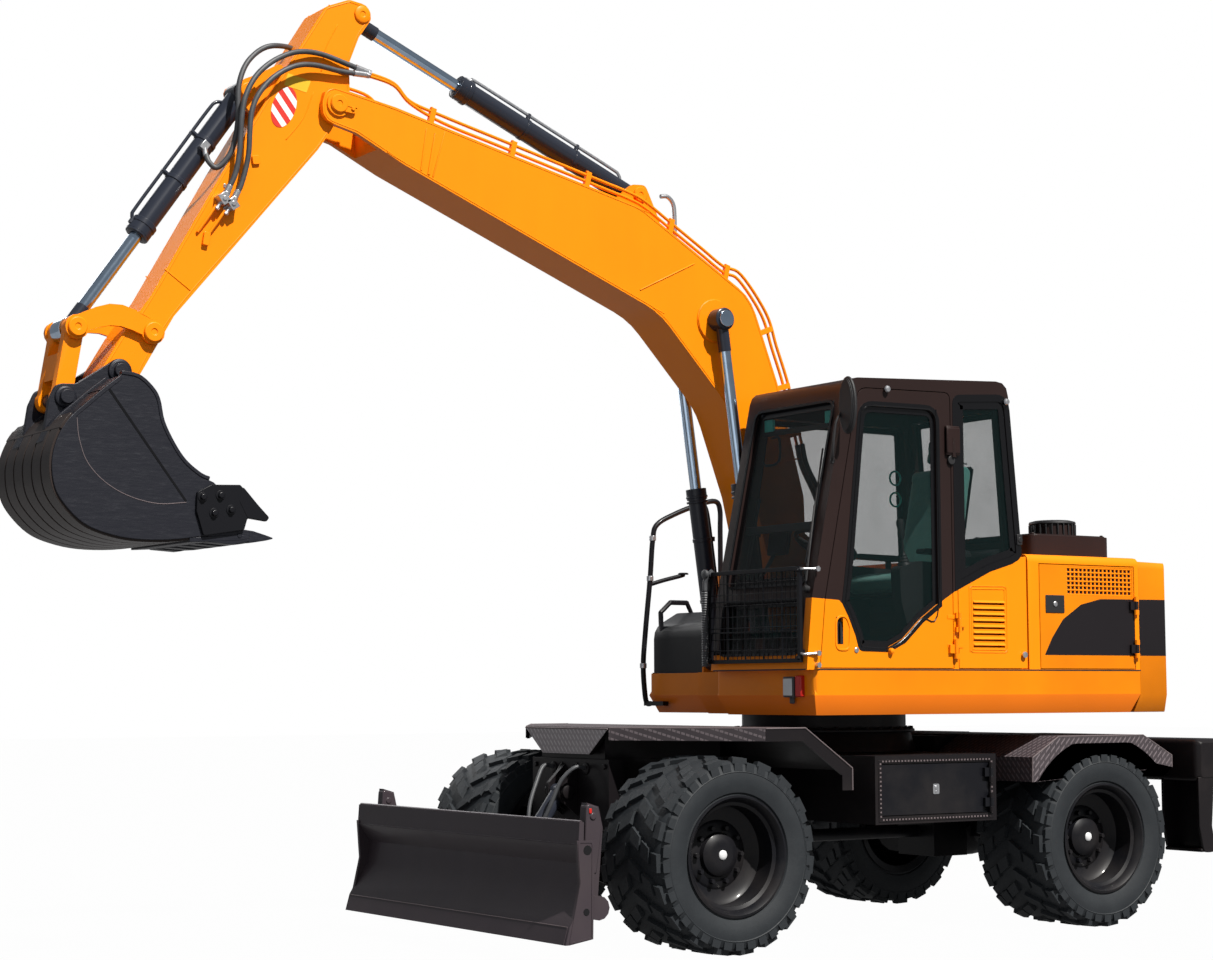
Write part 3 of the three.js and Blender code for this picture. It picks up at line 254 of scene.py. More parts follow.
def makeRubber():
    g = Graph("tyreRubber")
    dusty = g.ramp(g.noise(7, 6, 0.65), [(0.42, 0.0), (0.78, 0.4)])
    grain = g.noise(300, 2)
    return g.finish(Base_Color=g.mix(dusty, colours["rubber"], (0.022, 0.027, 0.031)), Roughness=0.58 + grain * 0.2,
        height=grain + g.noise(40, 4), bump=0.35, distance=0.002)


def makeHose():
    g = Graph("hoseRubber")
    weave = g.noise(500, 2)
    return g.finish(Base_Color=g.mix(g.noise(30, 3), (0.028, 0.03, 0.034), (0.075, 0.078, 0.085)),
        Roughness=0.42 + weave * 0.2, height=weave, bump=0.3, distance=0.001)


def makeSteel():
    g = Graph("platedSteel")
    brushed = g.noise(120, 3, vector=g.stretch((1, 1, 0.1)))
    return g.finish(Base_Color=g.mix(brushed, (0.45, 0.46, 0.48), (0.62, 0.63, 0.66)), Metallic=0.9,
        Roughness=0.25 + brushed * 0.2, height=brushed, bump=0.08, distance=0.001)


def makeGlass(name, tint, alpha):
    g = Graph(name)
    film = g.noise(5, 4)
    g.material.surface_render_method = "BLENDED"
    return g.finish(Base_Color=g.mix(film, tint, tuple(c * 0.7 for c in tint)), Roughness=0.03 + film * 0.03,
        Alpha=alpha + film * 0.08, Specular_IOR_Level=0.7, height=film, bump=0.02, distance=0.002)


def makePlastic(name, colour, gloss=0.5):
    g = Graph(name)
    grain = g.noise(350, 2)
    return g.finish(Base_Color=g.mix(g.noise(12, 3), colour, tuple(c * 0.75 for c in colour)),
        Roughness=gloss + grain * 0.15, height=grain, bump=0.2, distance=0.0008)


def makeFabric():
    g = Graph("seatFabric")
    x, y, z = g.axes()
    threadsPerMetre = 900
    weave = ((x * threadsPerMetre % 1) > 0.5) * 0.5 + ((y * threadsPerMetre % 1) > 0.5) * 0.5
    fuzz = g.noise(60, 4)
    return g.finish(Base_Color=g.mix(fuzz, (0.06, 0.26, 0.23), (0.12, 0.38, 0.34)), Roughness=0.85 + fuzz * 0.1,
        Sheen_Weight=0.3, height=weave + g.noise(500, 2), bump=0.3, distance=0.001)


def makeTread(name="treadPlate", low=(0.045, 0.036, 0.041), high=(0.15, 0.125, 0.135)):
    g = Graph(name)
    x, y, z = g.axes()
    studsPerMetre = 26
    u = (x + y + z) * studsPerMetre % 1
    v = (x - y + z * 0.12) * studsPerMetre % 1
    stud = ((u > 0.3) * (u < 0.62)) * ((v > 0.1) * (v < 0.86))
    dirt = g.ramp(g.noise(5, 6, 0.6), [(0.45, 0.0), (0.8, 0.35)])
    base = g.mix(stud, low, high)
    return g.finish(Base_Color=g.mix(dirt, base, tuple(c * 0.8 for c in high)), Roughness=0.5 - stud * 0.12,
        height=stud, bump=0.6, distance=0.003)


rodChrome = makeChrome()
bucketSteel = makeBucketSteel()
tyreRubber = makeRubber()
hoseRubber = makeHose()
platedSteel = makeSteel()
tintedGlass = makeGlass("tintedGlass", (0.004, 0.016, 0.016), 0.24)
# The mirror face's pale grey-blue colour is a painted reflection.
mirrorGlass = makeGlass("mirrorGlass", (0.35, 0.4, 0.42), 0.9)
blackPlastic = makePlastic("blackPlastic", (0.01, 0.01, 0.012))
greyPlastic = makePlastic("greyPlastic", (0.06, 0.062, 0.066))
whitePlastic = makePlastic("whitePlastic", (0.75, 0.76, 0.78), 0.35)
redPlastic = makePlastic("redPlastic", (0.55, 0.015, 0.01), 0.3)
yellowPlastic = makePlastic("yellowPlastic", (0.85, 0.5, 0.01), 0.4)
seatFabric = makeFabric()
treadPlate = makeTread()
paleTread = makeTread("paleTread", (0.3, 0.27, 0.28), (0.52, 0.49, 0.5))
blackGloss = makePlastic("blackGloss", (0.004, 0.004, 0.005), 0.12)
tealPlastic = makePlastic("tealPlastic", (0.08, 0.8, 0.7), 0.4)
lampLens = makePlastic("lampLens", (0.62, 0.66, 0.68), 0.06)
edgeSteel = paint("edgeSteel", (0.14, 0.115, 0.12), (0.07, 0.055, 0.06), gloss=0.45, dust=0.02)
wornSteel = paint("wornSteel", (0.03, 0.022, 0.02), (0.014, 0.011, 0.011), gloss=0.4, dust=0.02)


def makeStriped():
    g = Graph("stripedFilm")
    x, y, z = g.axes()
    band = (x * 0.78 - z * 0.62) * 15.5 % 1
    tone = g.mix(band > 0.5, (0.8, 0.78, 0.76), (0.62, 0.03, 0.02))
    grain = g.noise(300, 2)
    return g.finish(Base_Color=tone, Roughness=0.35 + grain * 0.1, height=grain, bump=0.05, distance=0.0005)


stripedFilm = makeStriped()

# The line where the orange sweeps up the side, as [x, z] from the middle of the wheelbase.
sweep = [(-0.83, 2.19), (-0.663, 2.156), (-0.467, 2.079), (-0.237, 1.973), (-0.085, 1.885), (0.046, 1.799),
    (0.176, 1.686), (0.286, 1.638), (0.482, 1.64), (0.505, 1.712), (0.55, 1.819), (0.637, 1.893), (0.83, 1.903)]


def sweptMask(g, line, x, z):
    # 1 below a line of [x, z] points
    low, high = line[0][0] + middle.x, line[-1][0] + middle.x
    span = high - low
    base, rise = 1.4, 1.2
    stops = [((px + middle.x - low) / span, (pz - base) / rise) for px, pz in line]
    curve = g.ramp((x - low) / span, stops)
    return z < curve * rise + base


def twoTone(name, maskOf, first, second):
    # second shows where the mask is 1
    g = Graph(name)
    x, y, z = g.axes()
    mask = maskOf(g, x, y, z)
    cloud = g.noise(2.2, 4)
    speck = g.noise(140, 2)
    tone = g.mix(mask, g.mix(cloud, first, tuple(c * 0.6 for c in first)), g.mix(cloud, second,
        tuple(c * 0.85 for c in second)))
    return g.finish(Base_Color=tone, Roughness=0.38 + speck * 0.08, Coat_Weight=0.06, Coat_Roughness=0.12,
        Specular_IOR_Level=0.2, height=g.noise(420, 2) * 0.5 + cloud, bump=0.05, distance=0.003)


def cabMask(g, x, y, z):
    sillTop, sideFace = 1.6, 1.145
    side = y > sideFace + middle.y
    return 1 - (1 - sweptMask(g, sweep, x, z) * side) * (1 - (z < sillTop))


def doorMask(g, x, y, z):
    return sweptMask(g, sweep, x, z)


panelLine = [(-2.3, 1.945), (-1.36, 1.935), (-1.2, 1.9), (-1.05, 1.81), (-0.96, 1.7), (-0.9, 1.6)]


def panelMask(g, x, y, z):
    panelFace, panelLow, panelFront = 1.1, 1.6, -0.9
    side = 1 - (y < panelFace + middle.y) * (y > -panelFace + middle.y)
    inside = (z > panelLow) * (x < panelFront + middle.x)
    return sweptMask(g, panelLine, x, z) * side * inside


cabSidePaint = twoTone("cabSidePaint", cabMask, colours["cab"], colours["orange"])
doorPaint = twoTone("doorPaint", doorMask, colours["cab"], colours["orange"])
hoodSidePaint = twoTone("hoodSidePaint", panelMask, colours["orange"], (0.012, 0.01, 0.012))
# The upper frame is orange above z 1.372 and a darker, redder orange below it. The darker band on the downward-facing
# skirt chamfer is painted shade.
deckPaintWithShadedSkirt = twoTone("deckPaintWithShadedSkirt", lambda g, x, y, z: z < 1.372, colours["orange"], (0.85, 0.19, 0.006))
print("materials ready")

finishes = {}
for finish, names in (
        (deckPaintWithShadedSkirt, "upper_frame"),
        (hoodSidePaint, "counterweight engine_door_left engine_door_right"),
        (orangePaint, "engine_hood service_door fuel_tank boom stick rocker h_link"),
        (cabSidePaint, "cab_shell"),
        (doorPaint, "cab_door"),
        (chassisPaint, "chassis_frame front_fenders rear_fenders toolbox_left toolbox_right rear_beam"),
        (bladePaint, "dozer_blade"),
        (blackPaint, "front_axle rear_axle knuckle_left knuckle_right toolbox_door_left toolbox_door_right "
                     "front_guard right_locker handrail rim_front_left rim_front_right rim_rear_left "
                     "rim_rear_right"),
        (cabPaint, "intake_box"),
        (bucketSteel, "bucket"),
        (ramPaint, "engine_block boom_ram_barrels arm_ram_barrel bucket_ram_barrel blade_ram_barrel"),
        (tintedGlass, "door_glass windshield lower_windshield quarter_glass right_glass rear_glass"),
        (blackPlastic, "control_consoles mirror"),
        (seatFabric, "operator_seat"),
        (rodChrome, "boom_ram_rod_left boom_ram_rod_right arm_ram_rod bucket_ram_rod blade_ram_rod"),
        (tyreRubber, "tyre_front_left tyre_front_right tyre_rear_left tyre_rear_right")):
    finishes.update(dict.fromkeys(names.split(), finish))
# Slot names for groups of finishes; the loop builds these pairs but does not keep them.
for slotName, members in (
        ("trim_plastic", (blackPlastic, greyPlastic, redPlastic, tealPlastic, blackGloss, mirrorGlass)),
        ("rod_chrome", (platedSteel,)),
        ("ram_paint", (hoseRubber, ramPaint)),
        ("black_paint", (blackPaint, cabPaint)),
        ("arm_orange", (orangePaint, stripedFilm, yellowPlastic)),
        ("chassis_paint", (bladePaint, chassisPaint, edgeSteel, treadPlate, paleTread)),
        ("bucket_paint", (bucketSteel, wornSteel)),
        ("seat_fabric", (seatFabric,)),
        ("tyre_rubber", (tyreRubber,)),
        ("window_glass", (lampLens,)),
        ("rim_paint", (whitePlastic,))):
    dict.fromkeys(members, slotName)
softEdges = {"width": 0.004, "angle": 35}


def dress(node, material):
    mesh = node.data
    mesh.materials.clear()
    mesh.materials.append(material)
    if "custom_normal" in mesh.attributes:
        mesh.attributes.remove(mesh.attributes["custom_normal"])
    mesh.polygons.foreach_set("use_smooth", [True] * len(mesh.polygons))
    weld = node.modifiers.new("weld", "WELD")
    weld.merge_threshold = 0.00005
    bevel = node.modifiers.new("softEdges", "BEVEL")
    bevel.width = softEdges["width"] if "glass" not in node.name and "windshield" not in node.name else 0.0008
    bevel.segments = 2
    bevel.limit_method = "ANGLE"
    bevel.angle_limit = math.radians(softEdges["angle"])
    bevel.harden_normals = True


for nodeName, node in nodes.items():
    dress(node, finishes[nodeName])
print("nodes dressed")


# A Shape gathers parts in one mesh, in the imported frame.
boxFaces = [(0, 1, 3, 2), (4, 6, 7, 5), (0, 4, 5, 1), (2, 3, 7, 6), (0, 2, 6, 4), (1, 5, 7, 3)]


def onAxis(axis, a, b, t):
    # a point at t along an axis: [a, b] is [x, z] along y, [x, y] along z and [y, z] along x
    return {"y": at(a, t, b), "z": at(a, b, t), "x": at(t, a, b)}[axis]


def tubeFaces(rows, count):
    # the walls between rows of as many points, open at both ends
    return [(r * count + i, r * count + (i + 1) % count, (r + 1) * count + (i + 1) % count, (r + 1) * count + i) for r
        in range(rows - 1) for i in range(count)]


class Shape:
    def __init__(self):
        self.bm = bmesh.new()

    def add(self, verts, faces):
        made = [self.bm.verts.new(v) for v in verts]
        for face in faces:
            try:
                self.bm.faces.new([made[i] for i in face])
            except ValueError:
                pass
        return self

    def box(self, xs, ys, zs, turn=None):
        points = [Vector((x, y, z)) for x in xs for y in ys for z in zs]
        if turn:
            centre = sum(points, Vector()) / 8
            points = [turn @ (point - centre) + centre for point in points]
        return self.add([point + middle for point in points], boxFaces)

    def slab(self, outline, low, high, axis="y"):
        # an outline swept along an axis
        n = len(outline)
        verts = [onAxis(axis, a, b, t) for t in (low, high) for a, b in outline]
        faces = [tuple(range(n)), tuple(range(2 * n - 1, n - 1, -1))]
        faces += [(i, i + n, (i + 1) % n + n, (i + 1) % n) for i in range(n)]
        return self.add(verts, faces)

    def plate(self, points, side, near, far):
        # a slab on one side of the machine, between two distances from its middle
        return self.slab(corners(points), *across(side, near, far))

    def spin(self, profile, start, along, count=32, close=False):
        # profile [radius, distance along the axis], turned about an axis from a start point; close joins its ends
        axis = Vector(along).normalized()
        side = axis.orthogonal().normalized()
        other = axis.cross(side)
        origin = at(*start)
        verts = [origin + axis * distance + (side * math.cos(a) + other * math.sin(a)) * radius for radius,
            distance in profile for a in turns(count)]
        faces = []
        rows = len(profile)
        for row in range(rows if close else rows - 1):
            after = (row + 1) % rows
            for i in range(count):
                j = (i + 1) % count
                faces.append((row * count + i, row * count + j, after * count + j, after * count + i))
        if not close:
            faces += [tuple(range(count)), tuple(range((rows - 1) * count, rows * count))]
        return self.add(verts, faces)

    def rod(self, start, end, radius, count=16, endRadius=None):
        along = Vector(end) - Vector(start)
        return self.spin([(radius, 0), (radius if endRadius is None else endRadius, along.length)], start, along,
            count)

    def bolt(self, place, along, size=0.012, height=0.008):
        return self.spin([(size, 0), (size, height), (size * 0.8, height * 1.25)], place, along, 6)

    def tube(self, points, radius, count=10):
        path = smoothPath(points)
        rings = []
        side = None
        for i, point in enumerate(path):
            ahead = (path[min(i + 1, len(path) - 1)] - path[max(i - 1, 0)]).normalized()
            side = (side - ahead * side.dot(ahead)).normalized() if side else ahead.orthogonal().normalized()
            other = ahead.cross(side)
            rings.append([point + middle + (side * math.cos(a) + other * math.sin(a)) * radius for a in turns(count)])
        verts = [v for ring in rings for v in ring]
        ends = [tuple(range(count)), tuple(range(len(verts) - count, len(verts)))]
        return self.add(verts, tubeFaces(len(rings), count) + ends)

    def done(self, name, material, body, slot=None, smooth=40, bevel=0.0, ride=True):
        bmesh.ops.recalc_face_normals(self.bm, faces=self.bm.faces)
        mesh = bpy.data.meshes.new(name)
        self.bm.to_mesh(mesh)
        self.bm.free()
        mesh.materials.append(material)
        mesh.polygons.foreach_set("use_smooth", [True] * len(mesh.polygons))
        mesh.set_sharp_from_angle(angle=math.radians(smooth))
        piece = bpy.data.objects.new(name, mesh)
        bpy.context.scene.collection.objects.link(piece)
        if bevel:
            modifier = piece.modifiers.new("softEdges", "BEVEL")
            modifier.width = bevel
            modifier.segments = 2
            modifier.limit_method = "ANGLE"
            modifier.angle_limit = math.radians(40)
        if ride:
            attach(piece, body)
        return piece


def turns(count):
    # the angles of a full turn in even steps
    return [2 * math.pi * i / count for i in range(count)]


def smoothPath(points, steps=6):
    # a Catmull-Rom curve through the points
    p = [Vector(q) for q in points]
    if len(p) < 3:
        return p
    p = [p[0] * 2 - p[1]] + p + [p[-1] * 2 - p[-2]]
    path = []
    for i in range(1, len(p) - 2):
        for s in range(steps):
            t = s / steps
            a, b, c, d = p[i - 1], p[i], p[i + 1], p[i + 2]
            path.append(0.5 * ((2 * b) + (c - a) * t + (2 * a - 5 * b + 4 * c - d) * t * t + (3 * b - a - 3 * c + d)
                * t ** 3))
    return path + [p[-2]]


sides = (("left", 1), ("right", -1))

wheel = {
    "axleX": {"front": 1.346, "rear": -1.346},
    "height": 0.525,
    "middleY": 0.93,
    "halfWidth": 0.29,
    "radius": 0.525,
    "carcass": 0.502,      # radius between the tread blocks
    "bead": 0.3,
    "blocks": 19,          # tread blocks round one row
}


def treadBlock(shape, centre, side, angle, spread, ys, skew, inner, outer):
    # a block on the tread: spread is its angle, skew turns its far end forward
    points = []
    for radius, pinch in ((inner, 1.0), (outer, 0.86)):
        for y, shift in zip(ys, (0, skew)):
            mid = sum(ys) / 2
            for way in (-1, 1):
                a = angle + shift + way * spread / 2 * pinch
                yy = mid + (y - mid) * (0.5 + pinch / 2)
                points.append(Vector((centre.x + math.sin(a) * radius, centre.y + side * yy, centre.z + math.cos(a)
                    * radius)))
    shape.add(points, boxFaces)


def makeTyre(end, word, side):
    centre = at(wheel["axleX"][end], side * wheel["middleY"], wheel["height"])
    half, carcass, bead = wheel["halfWidth"], wheel["carcass"], wheel["bead"]
    wall = [(bead + 0.001, half - 0.026), (bead + 0.012, half - 0.022), (bead + 0.03, half - 0.026),
        (bead + 0.036, half - 0.016), (bead + 0.075, half - 0.004), (bead + 0.115, half), (carcass - 0.062,
        half - 0.003), (carcass - 0.058, half + 0.0), (carcass - 0.05, half - 0.004), (carcass - 0.022, half - 0.014),
        (carcass - 0.004, half - 0.04), (carcass, half - 0.075)]
    profile = wall + [(r, -y) for r, y in reversed(wall)]
    tyre = Shape()
    tyre.spin([(r, y * side) for r, y in profile], (wheel["axleX"][end], side * wheel["middleY"], wheel["height"]),
        (0, 1, 0), 96, close=True)
    pitch = 2 * math.pi / wheel["blocks"]
    for i in range(wheel["blocks"]):
        a = i * pitch
        for way in (-1, 1):
            b = a + (0.5 * pitch if way < 0 else 0)
            ys = lambda near, far: (way * near, way * far)
            treadBlock(tyre, centre, side, b, pitch * 0.46, ys(0.012, 0.108), side * pitch * 0.3, carcass - 0.004,
                wheel["radius"])
            treadBlock(tyre, centre, side, b + side * pitch * 0.42, pitch * 0.52, ys(0.122, 0.2), side * pitch * 0.22,
                carcass - 0.004, wheel["radius"] - 0.001)
            treadBlock(tyre, centre, side, b + side * pitch * 0.8, pitch * 0.62, ys(0.212, 0.268),
                side * pitch * 0.06, carcass - 0.024, wheel["radius"] - 0.006)
    for i in range(wheel["blocks"] * 2):
        a = i * pitch / 2
        for way in (-1, 1):
            treadBlock(tyre, centre, side, a, pitch * 0.36, (way * 0.262, way * (half - 0.001)), 0, carcass - 0.052,
                carcass - 0.012)
    piece = tyre.done(f"tyre_tread_{end}_{word}", tyreRubber, f"wheel_{end}_{word}", smooth=34)
    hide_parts(f"tyre_{end}_{word}")


def makeRim(end, word, side):
    place = (wheel["axleX"][end], side * wheel["middleY"], wheel["height"])
    b = wheel["bead"]
    face = 0.14
    well = [(0.0001, 0.05), (b - 0.026, 0.05), (b - 0.026, -0.262), (b + 0.018, -0.276), (b + 0.02, -0.266),
        (b - 0.001, -0.264), (b - 0.001, 0.264), (b + 0.02, 0.266), (b + 0.022, 0.276), (b + 0.01, 0.278),
        (b - 0.006, 0.262), (b - 0.016, 0.235), (b - 0.034, 0.225), (b - 0.036, 0.11), (b - 0.06, 0.09),
        (0.185, 0.082), (0.17, 0.092), (0.12, 0.095), (0.112, 0.118), (0.085, face - 0.004), (0.06, face),
        (0.0001, face)]
    rim = Shape()
    rim.spin([(r, y * side) for r, y in well], place, (0, 1, 0), 72, close=True)
    for a in turns(10):
        spot = (place[0] + math.cos(a) * 0.147, place[1] + side * 0.094, place[2] + math.sin(a) * 0.147)
        rim.bolt(spot, (0, side, 0), 0.015, 0.02)
    piece = rim.done(f"rim_face_{end}_{word}", blackPaint, f"wheel_{end}_{word}", "rim_paint", 34)
    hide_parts(f"rim_{end}_{word}")
    cap = Shape()
    cap.spin([(0.026, 0), (0.026, 0.004), (0.02, 0.009), (0.008, 0.011)], (place[0], place[1] + side * face,
        place[2]), (0, side, 0), 24)
    cap.done(f"hub_cap_{end}_{word}", whitePlastic, f"wheel_{end}_{word}")


for end in ("front", "rear"):
    for word, side in sides:
        makeTyre(end, word, side)
        makeRim(end, word, side)
print("wheels ready")

def corners(points, steps=5):
    # points [a, b, radius]: the radius rounds that corner
    path = []
    n = len(points)
    for i, point in enumerate(points):
        p = Vector(point[:2])
        r = point[2] if len(point) > 2 else 0
        if not r:
            path.append(tuple(p))
            continue
        back = (Vector(points[i - 1][:2]) - p).normalized()
        ahead = (Vector(points[(i + 1) % n][:2]) - p).normalized()
        reach = r / math.tan(math.acos(max(-1, min(1, back.dot(ahead)))) / 2)
        for s in range(steps + 1):
            t = s / steps
            path.append(tuple((p + back * reach) * (1 - t) ** 2 + p * 2 * t * (1 - t) + (p + ahead * reach) * t * t))
    return path


def inward(path, distance):
    turn = sum(a[0] * b[1] - b[0] * a[1] for a, b in zip(path, path[1:] + path[:1]))
    sign = 1 if turn > 0 else -1
    made = []
    n = len(path)
    for i in range(n):
        p, q, r = (Vector(path[(i + k) % n]) for k in (-1, 0, 1))
        u, v = (q - p).normalized(), (r - q).normalized()
        normal = Vector((-u.y, u.x)) + Vector((-v.y, v.x))
        made.append(tuple(q + normal * sign * distance / max(0.3, 1 + u.dot(v))))
    return made


def across(side, near, far):
    return (near, far) if side > 0 else (-far, -near)


def ring(shape, outer, inner, low, high, axis="y", place=None):
    # a flat frame between two outlines with as many corners, on an axis or where place puts it
    n = len(outer)
    place = place or (lambda a, b, t: onAxis(axis, a, b, t))
    verts = [place(a, b, t) for t in (low, high) for path in (outer, inner) for a, b in path]
    faces = []
    for i in range(n):
        j = (i + 1) % n
        faces += [(i, j, n + j, n + i), (2 * n + i, 3 * n + i, 3 * n + j, 2 * n + j), (i, 2 * n + i, 2 * n + j, j),
            (n + i, n + j, 3 * n + j, 3 * n + i)]
    return shape.add(verts, faces)


# The cab's outline and panes, as [x, z] or [x, z, corner radius].
cab = {
    "side": 1.2,
    "frontLow": (0.866, 1.51),
    "knee": (0.825, 1.906),
    "roofFront": (0.556, 3.135),
    "glassY": (0.396, 1.115),
    "upperZ": (1.985, 3.01),
    "lowerZ": (1.6, 1.89),
    "border": 0.034,
    "meshGap": (0.042, 0.066),     # guard wires, across and up
    "doorPane": [(0.456, 2.985, 0.09), (0.556, 2.115), (0.59, 1.885, 0.02), (0.548, 1.815), (0.499, 1.71),
                 (0.478, 1.64, 0.015), (0.286, 1.636), (0.176, 1.686), (0.046, 1.799), (-0.085, 1.885),
                 (-0.085, 2.99, 0.08)],
    "quarterPane": [(-0.252, 3.05, 0.02), (-0.61, 3.075, 0.06), (-0.69, 2.19, 0.02), (-0.64, 2.165),
                    (-0.467, 2.115), (-0.252, 2.02)],
    "rearPane": [(0.4, 2.26, 0.05), (1.11, 2.26, 0.05), (1.11, 3.02, 0.05), (0.4, 3.02, 0.05)],
    "rearLow": (-0.765, 1.51),
    "rearTop": (-0.64, 3.192),
    "rightPane": [(0.47, 2.99, 0.06), (0.64, 2.05, 0.04), (0.64, 1.7, 0.04), (-0.6, 1.7, 0.04),
                  (-0.56, 2.99, 0.06)],
}


def frontX(z):
    low, high = (cab["frontLow"], cab["knee"]) if z < cab["knee"][1] else (cab["knee"], cab["roofFront"])
    return low[0] + (z - low[1]) / (high[1] - low[1]) * (high[0] - low[0])


def frontRing(shape, z0, z1, y0, y1, width, depth, thick):
    # a frame in the plane of the sloping front
    outer = corners([(y0, z0, 0.05), (y1, z0, 0.05), (y1, z1, 0.07), (y0, z1, 0.07)])
    ring(shape, outer, inward(outer, width), 0, thick, place=lambda y, z, t: at(frontX(z) - depth + t, y, z))


def makeBorders():
    door = Shape()
    outer = corners(cab["doorPane"])
    ring(door, inward(outer, 0.001), inward(outer, cab["border"]), 1.187, 1.1885)
    ring(door, inward(outer, -0.026), inward(outer, 0.002), 1.2002, 1.2022)
    edge = inward(outer, -0.002)
    door.tube([(x, 1.202, z) for x, z in edge + edge[:1]], 0.004, 6)
    door.done("door_glass_border", blackGloss, "door")
    upper = Shape()
    outer = corners(cab["quarterPane"])
    ring(upper, inward(outer, 0.001), inward(outer, 0.045), 1.195, 1.1965)
    ring(upper, inward(outer, -0.04), inward(outer, 0.002), 1.2002, 1.202)
    outer = corners(cab["rightPane"])
    ring(upper, inward(outer, 0.001), inward(outer, 0.04), 0.3195, 0.3215)
    y0, y1 = cab["glassY"]
    frontRing(upper, cab["upperZ"][0], cab["upperZ"][1], y0, y1, 0.04, 0.0195, 0.0015)
    frontRing(upper, cab["lowerZ"][0], cab["lowerZ"][1], y0, y1, 0.03, 0.0195, 0.0015)
    for z0, z1 in (cab["upperZ"], cab["lowerZ"]):
        frontRing(upper, z0 - 0.01, z1 + 0.01, y0 - 0.01, y1 + 0.01, 0.014, -0.0005, 0.008)
    outer = corners(cab["rearPane"])
    (lowX, lowZ), (topX, topZ) = cab["rearLow"], cab["rearTop"]
    lean = (topX - lowX) / (topZ - lowZ)
    ring(upper, outer, inward(outer, 0.035), 0.016, 0.0185, place=lambda y, z, t: at(lowX + (z - lowZ) * lean + t, y,
        z))
    upper.done("window_borders", blackGloss, "upper")


def makeWindscreenBars():
    bars = Shape()
    for z, half, thick in ((2.885, 0.016, 0.016), (2.315, 0.022, 0.02)):
        bars.box((frontX(z) - 0.075, frontX(z) - 0.075 + thick), (0.415, 1.095), (z - half, z + half))
    bars.tube([(frontX(2.86) - 0.09, 0.46, 2.86), (frontX(2.8) - 0.09, 0.55, 2.85), (frontX(2.7) - 0.1, 0.56, 2.72),
        (frontX(2.68) - 0.1, 0.46, 2.7), (frontX(2.7) - 0.09, 0.42, 2.72)], 0.008, 8)
    for y in (0.405, 1.105):
        bars.box((frontX(2.5) - 0.075, frontX(2.5) - 0.055), (y - 0.008, y + 0.008), (2.03, 2.52),
            Matrix.Rotation(-0.215, 3, "Y"))
    bars.done("windscreen_bars", blackPlastic, "upper", bevel=0.003)
    clips = Shape()
    for y in (0.475, 1.035):
        clips.box((frontX(2.93) - 0.062, frontX(2.93) - 0.04), (y - 0.038, y + 0.038), (2.895, 2.965))
    clips.done("windscreen_clips", tealPlastic, "upper", bevel=0.004)
    wiper = Shape()
    wiper.spin([(0.022, 0), (0.022, 0.02), (0.014, 0.028)], (frontX(1.95) - 0.002, 1.15, 1.95), (1, 0, 0.2), 18)
    wiper.tube([(frontX(1.96) + 0.018, 1.15, 1.96), (frontX(2.2) + 0.022, 1.135, 2.2), (frontX(2.42) + 0.012, 1.105,
        2.42)], 0.006, 8)
    wiper.tube([(frontX(2.1) + 0.004, 1.098, 2.1), (frontX(2.4) + 0.008, 1.104, 2.4), (frontX(2.74) + 0.004, 1.085,
        2.74)], 0.0055, 6)
    wiper.done("wiper", blackPlastic, "upper")


def makeGuardMesh():
    mesh = Shape()
    x = 0.884
    y0, y1, z0, z1 = 0.345, 1.165, 1.56, 2.065
    stepY, stepZ = cab["meshGap"]
    count = round((y1 - y0) / stepY)
    for i in range(1, count):
        y = y0 + (y1 - y0) * i / count
        mesh.rod((x, y, z0), (x, y, z1), 0.0026, 6)
    count = round((z1 - z0) / stepZ)
    for i in range(1, count):
        z = z0 + (z1 - z0) * i / count
        mesh.rod((x + 0.004, y0, z), (x + 0.004, y1, z), 0.0026, 6)
    for y, z in ((0.347, 1.575), (1.164, 1.575), (0.347, 2.055), (1.164, 2.055)):
        mesh.bolt((0.894, y, z), (1, 0, 0), 0.013, 0.009)
    mesh.done("guard_mesh", blackPaint, "upper")
    fixings = Shape()
    for y, z in ((1.215, 2.06), (1.215, 1.6), (1.215, 1.535)):
        fixings.rod((0.8, 1.196, z), (0.8, 1.222, z), 0.012, 16)
        fixings.rod((0.8, 1.222, z), (0.8, 1.228, z), 0.016, 6)
    fixings.tube([(0.885, 1.165, 2.06), (0.875, 1.195, 2.06), (0.8, 1.215, 2.06)], 0.007, 8)
    fixings.tube([(0.885, 1.165, 1.6), (0.875, 1.195, 1.595), (0.8, 1.215, 1.6)], 0.007, 8)
    fixings.done("guard_fixings", platedSteel, "upper")


